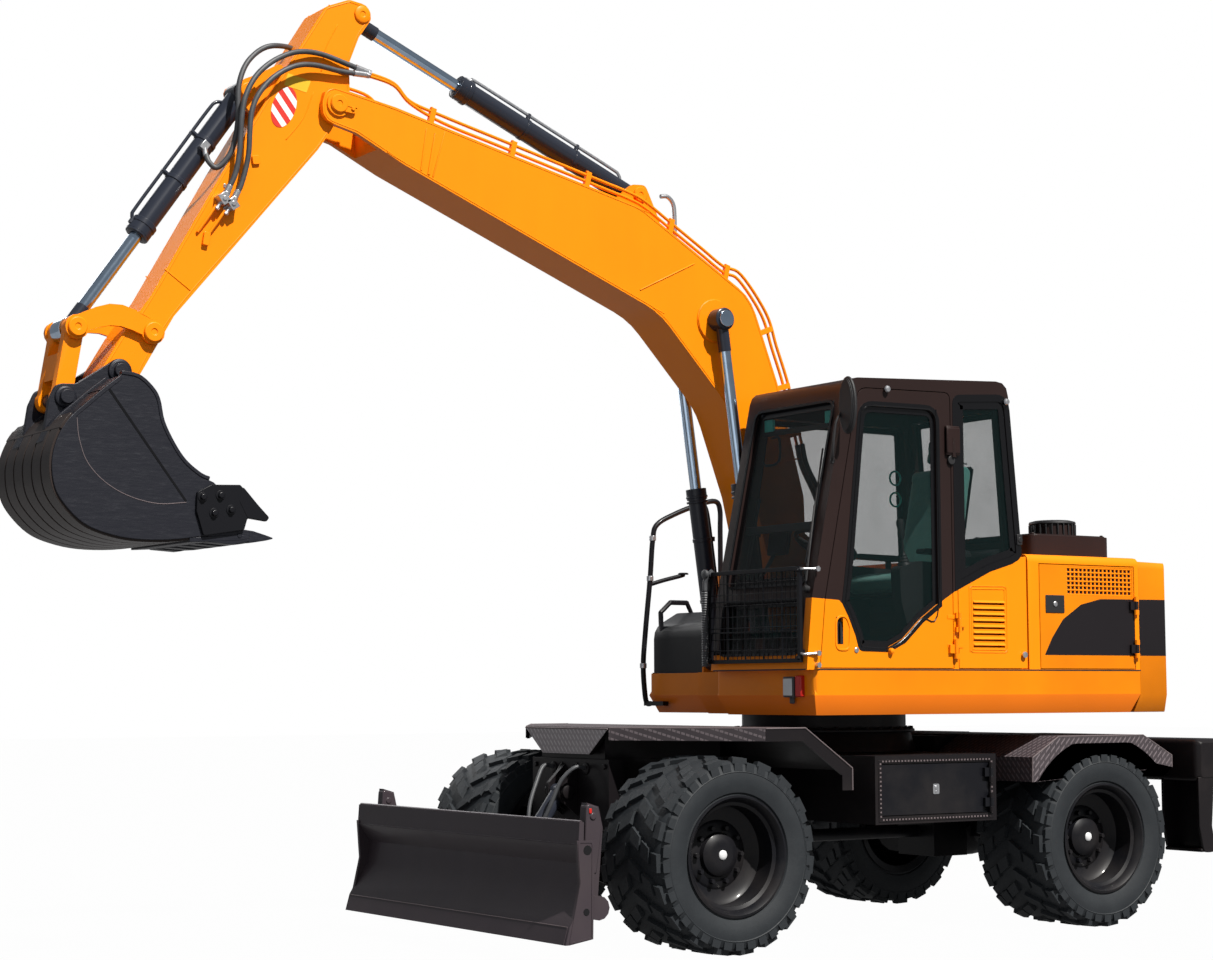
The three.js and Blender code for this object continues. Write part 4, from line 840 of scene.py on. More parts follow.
def makeDoorFittings():
    cup = Shape()
    outline = corners([(0.575, 1.628, 0.028), (0.652, 1.628, 0.028), (0.652, 1.792, 0.036), (0.592, 1.8, 0.036),
        (0.568, 1.74, 0.03)])
    ring(cup, inward(outline, -0.014), inward(outline, -0.002), 1.1985, 1.2045)
    cup.done("door_handle_rim", orangePaint, "door", "upper_orange", bevel=0.002)
    grip = Shape()
    grip.slab(inward(outline, -0.002), 1.1765, 1.1835)
    grip.slab(corners([(0.596, 1.65, 0.015), (0.628, 1.65, 0.015), (0.628, 1.775, 0.015), (0.606, 1.775, 0.015)]),
        1.183, 1.199)
    grip.done("door_handle", blackPlastic, "door", bevel=0.003)
    steel = Shape()
    steel.spin([(0.015, 0), (0.015, 0.004), (0.01, 0.007), (0.004, 0.007)], (0.518, 1.2, 1.619), (0, 1, 0), 24)
    steel.done("door_lock", platedSteel, "door")
    knob = Shape()
    knob.spin([(0.017, 0), (0.017, 0.014), (0.017 * 0.8, 0.022), (0.017 * 0.3, 0.026)], (0.274, 1.2, 1.615),
        (0, 1, 0), 24)
    knob.done("sill_knob", orangePaint, "door", "upper_orange")
    knobs = Shape()
    for spot in ((0.284, 1.2, 3.085), (-0.618, 1.2, 3.071)):
        knobs.rod(spot, (spot[0], 1.212, spot[2]), 0.008, 12)
        knobs.spin([(0.004, 0), (0.016, 0.004), (0.02, 0.012), (0.016, 0.02), (0.004, 0.024)],
            (spot[0], 1.206, spot[2]), (0, 1, 0), 20)
    knobs.done("cab_knobs", platedSteel, "upper")
    latch = Shape()
    latch.box((-0.25, -0.15), (1.199, 1.224), (2.745, 2.895))
    latch.box((-0.25, -0.15), (1.197, 1.219), (2.735, 2.905))
    latch.done("door_catch", cabPaint, "upper", "cab_frame", bevel=0.006)
    stop = Shape()
    stop.rod((-0.19, 1.2, 2.708), (-0.19, 1.216, 2.708), 0.026, 24)
    stop.box((-0.73, -0.69), (1.198, 1.21), (2.238, 2.3))
    stop.rod((-0.712, 1.208, 2.268), (-0.712, 1.214, 2.268), 0.017, 20)
    stop.done("door_stop", blackPlastic, "upper", bevel=0.004)
    hingeCaps = Shape()
    for z in (1.812, 1.647):
        hingeCaps.box((-0.262, -0.15), (1.1995, 1.2025), (z - 0.011, z + 0.011))
    hingeCaps.done("door_hinge_plates", orangePaint, "upper", "upper_orange", bevel=0.001)


def makeMirror():
    x, y, z = 0.632, 1.285, 2.965
    head = Shape()
    rim = [(math.cos(a) * 0.062 + y, math.sin(a) * 0.15 + z) for a in turns(40)]
    inner = [(y + (a - y) * 0.83, z + (b - z) * 0.92) for a, b in rim]
    ring(head, rim, inner, x - 0.022, x + 0.01, "x")
    head.tube([(x - 0.006, a, b) for a, b in rim + rim[:1]], 0.011, 8)
    head.slab([(y + (a - y) * 0.9, z + (b - z) * 0.95) for a, b in rim], x + 0.004, x + 0.014, "x")
    arm = [(frontX(2.99) - 0.03, 1.205, 2.99), (0.6, 1.215, 3.00), (0.622, 1.235, 2.985), (x, y, 2.975)]
    head.tube(arm, 0.009, 10)
    head.tube([(0.665, 1.19, 2.66), (0.69, 1.225, 2.7), (0.675, 1.235, 2.86), (0.64, 1.24, 2.93),
        (0.625, 1.235, 2.985)], 0.008, 10)
    head.rod((0.6, 1.199, 3.00), (0.6, 1.222, 3.00), 0.016, 16)
    head.rod((0.665, 1.185, 2.66), (0.665, 1.2, 2.66), 0.014, 16)
    piece = head.done("mirror_head", blackPlastic, "upper", bevel=0.002)
    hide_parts("mirror")
    face = Shape()
    face.slab([(y + (a - y) * 0.84, z + (b - z) * 0.93) for a, b in rim], x - 0.004, x + 0.004, "x")
    face.done("mirror_face", mirrorGlass, "upper")


def makeLamps():
    housing = Shape()
    housing.box((0.806, 0.846), (0.958, 1.052), (1.36, 1.474))
    housing.box((0.812, 0.822), (0.985, 1.025), (1.325, 1.365))
    housing.done("head_lamp_housing", greyPlastic, "upper", bevel=0.008)
    lens = Shape()
    lens.box((0.845, 0.852), (0.966, 1.044), (1.37, 1.464))
    lens.done("head_lamp_lens", lampLens, "upper", bevel=0.004)
    red = Shape()
    red.box((0.806, 0.842), (1.058, 1.112), (1.362, 1.48))
    red.done("side_lamp", redPlastic, "upper", bevel=0.008)


for makeTrim in (makeBorders, makeWindscreenBars, makeGuardMesh, makeDoorFittings, makeMirror, makeLamps):
    makeTrim()
print("cab trim ready")

seat = {
    "pads": {
        "seat_cushion": {"outline": [(0.05, 1.965, 0.03), (0.06, 2.05, 0.04), (-0.1, 2.072, 0.05),
                                     (-0.415, 2.05, 0.04), (-0.42, 1.965, 0.03)], "y": (0.55, 1.01)},
        "seat_back": {"outline": [(-0.318, 2.07, 0.03), (-0.44, 2.07, 0.03), (-0.54, 2.7, 0.05),
                                  (-0.455, 2.725, 0.05), (-0.395, 2.42, 0.1)], "y": (0.56, 1.000)},
        "seat_head": {"outline": [(-0.47, 2.745, 0.02), (-0.54, 2.74, 0.02), (-0.552, 2.885, 0.04),
                                  (-0.492, 2.89, 0.04)], "y": (0.67, 0.89)},
    },
    "voxel": 0.007,
    "pressure": 4,
    "cap": 0.01,
    "frames": 20,
}


def puff(piece):
    # swell a pad like foam under its cover
    remesh = piece.modifiers.new("remesh", "REMESH")
    remesh.mode = "VOXEL"
    remesh.voxel_size = seat["voxel"]
    applyModifiers(piece)
    before = [v.co.copy() for v in piece.data.vertices]
    cloth = piece.modifiers.new("cloth", "CLOTH")
    cloth.settings.use_pressure = True
    cloth.settings.uniform_pressure_force = seat["pressure"]
    cloth.settings.effector_weights.gravity = 0
    for step in range(1, seat["frames"] + 1):
        bpy.context.scene.frame_set(step)
    applyModifiers(piece)
    for vertex, start in zip(piece.data.vertices, before):
        move = vertex.co - start
        if move.length > seat["cap"]:
            vertex.co = start + move.normalized() * seat["cap"]
    bpy.context.scene.frame_set(1)
    piece.data.polygons.foreach_set("use_smooth", [True] * len(piece.data.polygons))
    smooth = piece.modifiers.new("smooth", "SMOOTH")
    smooth.iterations = 4


def applyModifiers(piece):
    graph = bpy.context.evaluated_depsgraph_get()
    mesh = bpy.data.meshes.new_from_object(piece.evaluated_get(graph))
    old = piece.data
    piece.modifiers.clear()
    piece.data = mesh
    bpy.data.meshes.remove(old)


def makeSeat():
    for name, pad in seat["pads"].items():
        shape = Shape()
        shape.slab(corners(pad["outline"]), *pad["y"])
        piece = shape.done(name, seatFabric, "upper")
        puff(piece)
        if name == "seat_cushion":
            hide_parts("operator_seat")
    frame = Shape()
    frame.slab(corners([(0.02, 1.935, 0.02), (0.02, 1.962, 0.02), (-0.43, 1.962, 0.02), (-0.43, 1.935, 0.02)]), 0.545,
        1.015)
    frame.box((-0.36, -0.02), (0.62, 0.94), (1.575, 1.625))
    for i in range(7):
        z = 1.63 + i * 0.043
        frame.slab([(-0.335 - 0.012 * (i % 2), z), (-0.045 + 0.012 * (i % 2), z), (-0.045 + 0.012 * ((i + 1) % 2),
            z + 0.043), (-0.335 - 0.012 * ((i + 1) % 2), z + 0.043)], 0.645, 0.915)
    frame.slab(corners([(-0.44, 2.06, 0.01), (-0.458, 2.06, 0.01), (-0.56, 2.7, 0.02), (-0.545, 2.71, 0.02)]), 0.585,
        0.975)
    for y in (0.735, 0.825):
        frame.rod((-0.503, y, 2.68), (-0.515, y, 2.78), 0.007, 10)
    frame.done("seat_frame", blackPlastic, "upper", bevel=0.004)
    piping = Shape()
    for y in (0.563, 0.997):
        piping.tube([(-0.325, y, 2.1), (-0.398, y, 2.42), (-0.455, y, 2.69), (-0.5, y, 2.72)], 0.004, 6)
        piping.tube([(-0.36, y, 2.062), (-0.1, y, 2.078), (0.02, y, 2.068)], 0.004, 6)
    piping.done("seat_piping", blackPlastic, "upper")


def makeControls():
    floor = 1.5706
    dark = Shape()
    dark.slab(corners([(-0.46, 0.4, 0.03), (0.6, 0.4, 0.03), (0.6, 1.13, 0.03), (-0.46, 1.13, 0.03)]), floor,
        floor + 0.008, "z")
    for i in range(16):
        dark.box((0.05 + i * 0.034, 0.062 + i * 0.034), (0.56, 1.02), (floor + 0.007, floor + 0.012))
    for y0, y1 in ((0.43, 0.52), (1.04, 1.12)):
        dark.slab(corners([(-0.43, floor + 0.001, 0.02), (0.02, floor + 0.001, 0.02), (0.12, 1.9, 0.08),
            (0.13, 2.09, 0.03), (-0.02, 2.13, 0.05), (-0.43, 2.11, 0.04)]), y0, y1)
        mid = (y0 + y1) / 2
        dark.slab(corners([(-0.42, 2.165, 0.015), (-0.06, 2.175, 0.015), (-0.05, 2.205, 0.02), (-0.41, 2.2, 0.02)]),
            y0 + 0.006, y1 - 0.006)
        dark.rod((-0.33, mid, 2.1), (-0.33, mid, 2.175), 0.018, 12)
        boot = [(0.04, 0)] + [(0.036 - i * 0.003 - 0.004 * (i % 2), 0.01 + i * 0.008) for i in range(8)] + [(0.01,
            0.08)]
        dark.spin(boot, (0.06, mid, 2.105), (0.12, 0, 1), 20)
        dark.rod((0.068, mid, 2.17), (0.08, mid, 2.27), 0.008, 12)
        dark.spin([(0.014, 0), (0.021, 0.02), (0.019, 0.06), (0.024, 0.085), (0.02, 0.108), (0.008, 0.115)],
            (0.079, mid, 2.255), (0.1, 0, 1), 20)
    dark.slab(corners([(0.46, floor, 0.02), (0.59, floor, 0.02), (0.535, 1.9, 0.04), (0.445, 2.14, 0.03),
        (0.375, 2.13, 0.03), (0.46, 1.8, 0.1)]), 0.725, 0.835)
    centre, axis = Vector((0.392, 0.78, 2.225)), Vector((-0.45, 0, 0.89)).normalized()
    flat = axis.orthogonal().normalized()
    other = axis.cross(flat)
    spot = lambda angle, radius, drop=0.0: tuple(centre + (flat * math.cos(angle) + other * math.sin(angle)) * radius
        - axis * drop)
    dark.tube([spot(a, 0.178) for a in turns(24)] + [spot(2 * math.pi, 0.178)], 0.014, 10)
    for angle in (0.5, 2.6, 4.7):
        dark.tube([spot(angle, 0.02, 0.02), spot(angle, 0.1, 0.018), spot(angle, 0.172)], 0.01, 8)
    dark.spin([(0.05, -0.045), (0.055, -0.02), (0.045, 0.0), (0.02, 0.006)], tuple(centre), tuple(axis), 24)
    for y in (0.64, 0.9):
        dark.slab([(0.545, 1.6), (0.56, 1.6), (0.585, 1.745), (0.57, 1.75)], y - 0.045, y + 0.045)
        dark.rod((0.5, y, 1.585), (0.565, y, 1.68), 0.01, 10)
        dark.rod((0.5, y + 0.03, 1.6), (0.43, y + 0.03, 2.02), 0.009, 10)
        dark.spin([(0.01, 0), (0.018, 0.02), (0.014, 0.06), (0.005, 0.065)], (0.432, y + 0.03, 2.01), (-0.16, 0, 1),
            16)
    dark.slab(corners([(0.5, 2.18, 0.02), (0.535, 2.17, 0.02), (0.5, 2.36, 0.02), (0.465, 2.36, 0.02)]), 0.41, 0.575)
    dark.tube([(0.56, 0.385, 2.05), (0.53, 0.42, 2.12), (0.515, 0.47, 2.2)], 0.012, 8)
    dark.slab(corners([(-0.7, 1.575, 0.02), (-0.545, 1.575, 0.02), (-0.565, 2.2, 0.05), (-0.655, 2.225, 0.03)]),
        0.385, 1.125)
    dark.slab(corners([(0.47, 3.066, 0.02), (0.455, 3.074, 0.02), (-0.565, 3.12, 0.02), (-0.565, 3.095, 0.02)]),
        0.385, 1.125)
    piece = dark.done("cab_controls", blackPlastic, "upper", bevel=0.003)
    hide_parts("control_consoles")
    lit = Shape()
    lit.slab([(0.4975, 2.195), (0.4995, 2.195), (0.4665, 2.345), (0.4645, 2.345)], 0.422, 0.563)
    lit.done("monitor_glass", blackGloss, "upper")
    belt = Shape()
    belt.box((-0.3, -0.26), (1.012, 1.026), (1.99, 2.12), Matrix.Rotation(-0.3, 3, "Y"))
    belt.done("belt_buckle", redPlastic, "upper", bevel=0.004)
    vents = Shape()
    for z in (2.68, 2.55):
        vents.tube([(-0.47 + math.cos(a) * 0.042, 0.386, z + math.sin(a) * 0.042) for a in (2 * math.pi * i / 20 for i
            in range(21))], 0.006, 8)
    vents.done("air_vents", tealPlastic, "upper")


def makeHoodDetails():
    for word, side in sides:
        body = f"engine_lid_{word}"
        # A black sheet behind the grille bars stands in for the engine bay seen through the grille: its dark parts
        # and painted shade.
        grilleShade = Shape()
        grilleShade.box((-1.624, -1.086), across(side, 1.1882, 1.1895), (1.956, 2.121))
        grilleShade.done(f"grille_interior_shade_{word}", blackPlastic, body)
        lattice = Shape()
        for i in range(17):
            x = -1.6215 + i * 0.533 / 16
            lattice.box((x - 0.0055, x + 0.0055), across(side, 1.19, 1.1975), (1.9555, 2.1215))
        for i in range(7):
            z = 1.9595 + i * 0.158 / 6
            lattice.box((-1.6245, -1.0855), across(side, 1.191, 1.199), (z - 0.0045, z + 0.0045))
        lattice.done(f"grille_bars_{word}", orangePaint, body, "upper_orange", bevel=0.0015)
        plate = Shape()
        plate.plate([(-1.062, 1.848, 0.006), (-0.912, 1.848, 0.006), (-0.912, 1.952, 0.006), (-1.062, 1.952, 0.006)],
            side, 1.1995, 1.204)
        plate.done(f"lock_plate_{word}", blackPlastic, body, bevel=0.002)
        barrel = Shape()
        barrel.spin([(0.016, 0), (0.016, 0.004), (0.01, 0.008), (0.003, 0.008)], (-0.987, side * 1.204, 1.9),
            (0, side, 0), 20)
        barrel.done(f"hood_lock_{word}", platedSteel, body)
    frame = Shape()
    line = corners([(-0.318, 1.612, 0.03), (-0.318, 1.99, 0.03), (-0.604, 1.994, 0.03), (-0.604, 1.612, 0.03)])
    for path in (line, inward(line, 0.016)):
        frame.tube([(x, 1.2005, z) for x, z in path + path[:1]], 0.0028, 6)
    for row in range(8):
        z = 1.64 + row * 0.035
        frame.add([at(*p) for p in ((-0.345, 1.1995, z + 0.012), (-0.59, 1.1995, z + 0.012), (-0.59, 1.1995,
            z + 0.026), (-0.345, 1.1995, z + 0.026), (-0.349, 1.208, z + 0.0125), (-0.586, 1.208, z + 0.0125))],
            [(0, 1, 5, 4), (4, 5, 2, 3), (1, 2, 5), (0, 4, 3), (0, 3, 2, 1)])
    frame.done("louvre_frame", orangePaint, "service_lid", "upper_orange")
    knob = Shape()
    knob.spin([(0.01, 0), (0.01, 0.008), (0.018, 0.01), (0.018, 0.018), (0.006, 0.021)], (-0.729, 1.2, 1.6),
        (0, 1, 0), 24)
    knob.done("service_knob", platedSteel, "service_lid")
    seam = Shape()
    for side in (1, -1):
        seam.box((-1.684, 0.79 if side > 0 else 0.235), across(side, 1.1992, 1.2012), (1.5085, 1.5155))
    seam.box((0.862, 0.8685), (0.335, 1.19), (1.5085, 1.5155))
    seam.done("deck_seal", blackPlastic, "upper")
    cover = Shape()
    cover.spin([(0.15, 0), (0.152, 0.012), (0.143, 0.016)], (-1.395, 0.77, 2.312), (0, 0, 1), 48)
    for a in turns(24):
        x, y = -1.395 + math.cos(a) * 0.139, 0.77 + math.sin(a) * 0.139
        cover.box((x - 0.004, x + 0.004), (y - 0.004, y + 0.004), (2.335, 2.405))
    cover.spin([(0.138, 0.0), (0.143, 0.006), (0.14, 0.018), (0.11, 0.026), (0.03, 0.028)], (-1.395, 0.77, 2.404),
        (0, 0, 1), 48)
    cover.done("intake_cap", blackPlastic, "upper", "black_paint", bevel=0.001)
    lid = Shape()
    lid.slab(corners([(-1.00, 1.006, 0.05), (-1.626, 1.006, 0.05), (-1.626, 0.464, 0.05), (-1.00, 0.464, 0.05)]),
        2.3215, 2.328, "z")
    for x, y in ((-1.03, 0.98), (-1.6, 0.98), (-1.03, 0.49), (-1.6, 0.49)):
        lid.bolt((x, y, 2.327), (0, 0, 1), 0.011, 0.007)
    lid.done("intake_lid", cabPaint, "upper", bevel=0.002)


def makeRear():
    lamps = Shape()
    frame = Shape()
    for side in (1, -1):
        frame.box((-2.15, -2.085), across(side, 0.69, 0.91), (1.395, 1.475))
        lamps.box((-2.158, -2.148), across(side, 0.7, 0.9), (1.403, 1.467))
    frame.done("rear_lamp_frames", blackPlastic, "upper", bevel=0.004)
    lamps.done("rear_lamps", redPlastic, "upper", bevel=0.003)
    grab = Shape()
    for side in (1, -1):
        grab.tube([(-1.75, side * 0.55, 2.165), (-1.75, side * 0.55, 2.205), (-1.95, side * 0.55, 2.205),
            (-1.95, side * 0.55, 2.15)], 0.012, 8)
    grab.done("lifting_eyes", blackPaint, "upper")
    tank = Shape()
    tank.spin([(0.07, 0), (0.074, 0.006), (0.07, 0.012), (0.06, 0.014), (0.058, 0.03), (0.05, 0.036), (0.012, 0.038)],
        (-0.3, -0.95, 2.15), (0, 0, 1), 36)
    tank.done("filler_cap", blackPlastic, "upper")
    strip = Shape()
    for i in range(9):
        x = -0.7 + i * 0.06
        for y in (-1.12, -1.06, -0.72, -0.66, -0.6):
            strip.slab(corners([(x - 0.018, y - 0.006, 0.005), (x + 0.018, y - 0.006, 0.005),
                (x + 0.018, y + 0.006, 0.005), (x - 0.018, y + 0.006, 0.005)], 2), 2.1495, 2.1535, "z")
    strip.done("anti_slip_studs", blackPaint, "upper")
    handle = Shape()
    handle.slab(corners([(-0.1, 1.6, 0.01), (0.16, 1.6, 0.01), (0.16, 1.75, 0.03), (-0.1, 1.85, 0.03)]), -1.1735,
        -1.1695)
    handle.box((0.00, 0.06), (-1.182, -1.17), (1.7, 1.725))
    handle.done("locker_lid", blackPaint, "upper", bevel=0.003)
    gauge = Shape()
    gauge.slab(corners([(-0.26, 1.7, 0.01), (-0.22, 1.7, 0.01), (-0.22, 1.98, 0.01), (-0.26, 1.98, 0.01)]), -1.2035,
        -1.1995)
    gauge.done("level_gauge", blackGloss, "upper", bevel=0.001)


for makeTrim in (makeSeat, makeControls, makeHoodDetails, makeRear):
    makeTrim()
print("inside and hood trim ready")

boom = {
    "half": 0.165,
    "top": [(2.85, 4.572), (1.24, 4.2), (0.448, 3.738), (0.252, 3.235), (0.062, 2.56)],
    "outline": [(0.35, 2.23, 0.06), (0.43, 2.56), (0.625, 3.08, 0.5), (1.11, 3.59, 0.5), (2.8, 4.262, 0.3),
                (3.09, 4.4, 0.08), (3.298, 4.448, 0.09), (3.288, 4.648, 0.09), (2.85, 4.572, 0.3),
                (1.24, 4.2, 0.4), (0.448, 3.738, 0.3), (0.252, 3.235, 0.4), (0.062, 2.56, 0.2),
                (0.052, 2.27, 0.06), (0.14, 2.11, 0.09), (0.29, 2.11, 0.09)],
    "pipe": 0.0095,
    "hose": 0.0145,
}
stick = {
    "half": 0.125,
    "outline": [(3.12, 5.14, 0.06), (3.000, 5.125, 0.06), (2.985, 5.05, 0.03), (3.06, 4.94),
                (3.118, 4.79, 0.06), (3.112, 4.6, 0.06), (3.225, 4.4, 0.08), (3.3, 4.29, 0.06),
                (3.672, 3.844), (4.11, 3.32), (4.33, 2.935, 0.06), (4.43, 2.905, 0.06), (4.512, 2.99, 0.06),
                (4.385, 3.205, 0.06), (4.24, 3.41), (3.825, 4.147), (3.545, 4.62, 0.06), (3.26, 5.08, 0.06)],
}
pins = {
    "boomFoot": (0.2, 2.25), "boomEye": (0.715, 3.575), "ramFoot": (0.43, 1.582), "stickPivot": (3.203, 4.543),
    "armFoot": (1.2, 4.29), "stickTail": (3.04, 5.07), "bucketRamFoot": (3.7, 4.56),
    "rocker": (4.233, 3.223), "linkPin": (4.637, 3.219), "bucketPivot": (4.414, 3.01), "bucketLink": (4.695, 2.86),
}


def makeSeams():
    # weld beads along the box sections and plates on their sides
    for name, box in (("boom", boom), ("stick", stick)):
        bead = Shape()
        line = inward(corners(box["outline"], 4), 0.012)
        for side in (1, -1):
            bead.tube([(x, side * (box["half"] - 0.0012), z) for x, z in line + line[:1]], 0.004, 6)
        bead.done(f"{name}_edges", orangePaint, f"{name}_body")
    weld = Shape()
    for a, b in (((1.248, 3.712), (0.86, 3.905)), ((2.62, 4.215), (2.545, 4.478)), ((0.415, 2.72), (0.1, 2.79))):
        for side in (1, -1):
            weld.tube([(a[0], side * 0.1655, a[1]), (b[0], side * 0.1655, b[1])], 0.005, 6)
    weld.slab([(2.655, 4.225), (2.64, 4.222), (2.595, 4.46), (2.612, 4.462)], -0.171, 0.171)
    weld.slab([(2.7, 4.24), (2.69, 4.24), (2.655, 4.478), (2.665, 4.48)], -0.17, 0.17)
    weld.done("boom_welds", orangePaint, "boom_body", bevel=0.002)
    plates = Shape()
    for side in (1, -1):
        plates.tube([(3.19, side * 0.1255, 4.99), (3.255, side * 0.1255, 4.86), (3.285, side * 0.1255, 4.72)], 0.004,
            6)
        plates.tube([(3.33, side * 0.1255, 4.6), (3.39, side * 0.1255, 4.45), (3.49, side * 0.1255, 4.32)], 0.004, 6)
        plates.tube([(4.02, side * 0.1255, 3.46), (4.165, side * 0.1255, 3.56)], 0.004, 6)
        plates.plate([(3.64, 4.168, 0.008), (3.682, 4.16, 0.008), (3.69, 4.206, 0.008), (3.648, 4.214, 0.008)], side,
            0.124, 0.14)
        plates.plate([(3.93, 3.7, 0.01), (3.965, 3.705, 0.01), (3.955, 3.775, 0.01), (3.92, 3.77, 0.01)], side, 0.124,
            0.146)
    plates.done("stick_plates", orangePaint, "stick_body", bevel=0.002)


def capDisc(shape, pin, side, y, radius, height=0.014):
    shape.spin([(radius, 0), (radius, height * 0.7), (radius * 0.9, height), (radius * 0.35, height),
        (radius * 0.3, height * 0.7)], (pins[pin][0], side * y, pins[pin][1]), (0, side, 0), 36)


def makePins():
    caps = {body: Shape() for body in ("boom_body", "stick_body", "rocker_body", "bucket_body")}
    for side in (1, -1):
        shape = caps["boom_body"]
        capDisc(shape, "stickPivot", side, 0.177, 0.05, 0.014)
        x, z = pins["stickPivot"]
        shape.plate([(x + 0.045, z + 0.03, 0.03), (x + 0.045, z - 0.03, 0.03), (x - 0.105, z - 0.048, 0.03),
            (x - 0.105, z + 0.008, 0.03)], side, 0.176, 0.186)
        shape.bolt((x - 0.08, side * 0.185, z - 0.02), (0, side, 0), 0.012, 0.008)
        shape.spin([(0.128, 0), (0.128, 0.006), (0.112, 0.013), (0.108, 0.013), (0.104, 0.009), (0.06, 0.009)],
            (pins["boomEye"][0], side * 0.1655, pins["boomEye"][1]), (0, side, 0), 56)
        shape.spin([(0.052, 0), (0.052, 0.02), (0.046, 0.024)], (pins["boomEye"][0], side * 0.17, pins["boomEye"][1]),
            (0, side, 0), 40)
        capDisc(shape, "armFoot", side, 0.097, 0.045, 0.016)
        capDisc(caps["stick_body"], "bucketRamFoot", side, 0.097, 0.045, 0.016)
        for pin, y, radius, body in (("rocker", 0.156, 0.052, "rocker_body"), ("linkPin", 0.156, 0.05, "rocker_body"),
                ("bucketPivot", 0.162, 0.055, "bucket_body"), ("bucketLink", 0.162, 0.052, "bucket_body")):
            capDisc(caps[body], pin, side, y, radius, 0.016)
        capDisc(caps["stick_body"], "stickTail", side, 0.125, 0.048, 0.012)
    for body, shape in caps.items():
        finish = (bucketSteel, body, "bucket_paint") if body == "bucket_body" else (orangePaint, body, "arm_orange")
        shape.done(f"pin_caps_{body}", *finish, bevel=0.0015)


def boomTop(x):
    line = boom["top"]
    for (x1, z1), (x0, z0) in zip(line, line[1:]):
        if x >= x0:
            return z0 + (z1 - z0) * (x - x0) / (x1 - x0)
    return line[-1][1]


def boomBack(gap):
    corner, low = (0.448, 3.738), (0.252, 3.235)
    spots = [(corner, (0.864, 0.504), 0.12, (-0.504, 0.864)), (corner, (-0.363, -0.932), 0.12, (-0.932, 0.363)),
        (corner, (-0.363, -0.932), 0.33, (-0.932, 0.363)), (low, (-0.271, -0.963), 0.00, (-0.948, 0.317)),
        (low, (-0.271, -0.963), 0.2, (-0.963, 0.271)), (low, (-0.271, -0.963), 0.4, (-0.963, 0.271))]
    return [(x + along[0] * step + out[0] * gap, z + along[1] * step + out[1] * gap) for (x, z), along, step,
        out in spots]


def makePipes():
    pipes = Shape()
    for y, lift in ((0.15, 0.026), (0.15, 0.064), (-0.15, 0.04)):
        route = [(3.04, y, 4.722 + lift * 0.4), (2.86, y, 4.69 + lift * 0.3), (2.755, y, 4.602 + lift * 0.3)]
        route += [(x, y, boomTop(x) + lift) for x in (2.55, 2.2, 1.8, 1.5, 1.32, 1.2, 1.00, 0.8, 0.64)]
        route += [(x, y, z) for x, z in boomBack(lift + 0.024)]
        pipes.tube(route, boom["pipe"], 10)
    pipes.done("boom_pipes", orangePaint, "boom_body")
    clamps = Shape()
    for x in (2.62, 2.1, 1.6, 1.02, 0.62):
        z = boomTop(x)
        clamps.box((x - 0.016, x + 0.016), (0.134, 0.164), (z - 0.004, z + 0.084), Matrix.Rotation(-0.23, 3, "Y"))
        clamps.box((x - 0.016, x + 0.016), (-0.164, -0.134), (z - 0.004, z + 0.056), Matrix.Rotation(-0.23, 3, "Y"))
        for y, lift in ((0.149, 0.082), (-0.149, 0.054)):
            clamps.bolt((x, y, z + lift), (0, 0, 1), 0.009, 0.007)
    for x, z, lean in ((0.329, 3.548, 0.372), (0.204, 3.217, 0.274), (0.125, 2.938, 0.274)):
        for side in (1, -1):
            clamps.box((x - 0.052, x + 0.052), across(side, 0.136, 0.163), (z - 0.016, z + 0.016),
                Matrix.Rotation(lean, 3, "Y"))
    clamps.done("pipe_clamps", orangePaint, "boom_body", bevel=0.002)
    steel = Shape()
    steel.tube([(0.885, 0.0, 4.005), (0.885, 0.0, 4.2), (0.895, 0.0, 4.285), (0.935, 0.0, 4.325),
        (0.985, 0.0, 4.322)], 0.013, 12)
    steel.done("hose_guide", platedSteel, "boom_body")


hoseRoutes = {
    "hose_low": [(3.04, 0.15, 4.732), (3.18, 0.155, 4.727), (3.344, 0.168, 4.735), (3.469, 0.185, 4.708),
                 (3.589, 0.195, 4.634), (3.677, 0.2, 4.535), (3.721, 0.2, 4.433), (3.732, 0.2, 4.325),
                 (3.734, 0.195, 4.219), (3.742, 0.185, 4.142), (3.768, 0.175, 4.033), (3.8, 0.166, 3.962)],
    "hose_high": [(3.03, 0.15, 4.748), (3.14, 0.154, 4.772), (3.305, 0.152, 4.806), (3.453, 0.175, 4.789),
                  (3.588, 0.19, 4.722), (3.695, 0.2, 4.624), (3.759, 0.205, 4.507), (3.78, 0.205, 4.397),
                  (3.784, 0.2, 4.292), (3.788, 0.192, 4.187), (3.805, 0.18, 4.082), (3.845, 0.166, 3.985)],
    "hose_ram": [(3.04, -0.152, 4.738), (3.17, -0.16, 4.8), (3.35, -0.05, 4.862), (3.525, 0.085, 4.833),
                 (3.628, 0.105, 4.793), (3.724, 0.13, 4.696), (3.773, 0.145, 4.568), (3.776, 0.15, 4.432),
                 (3.785, 0.145, 4.307), (3.815, 0.135, 4.198), (3.875, 0.115, 4.125), (3.915, 0.1, 4.15),
                 (3.925, 0.075, 4.2)],
}


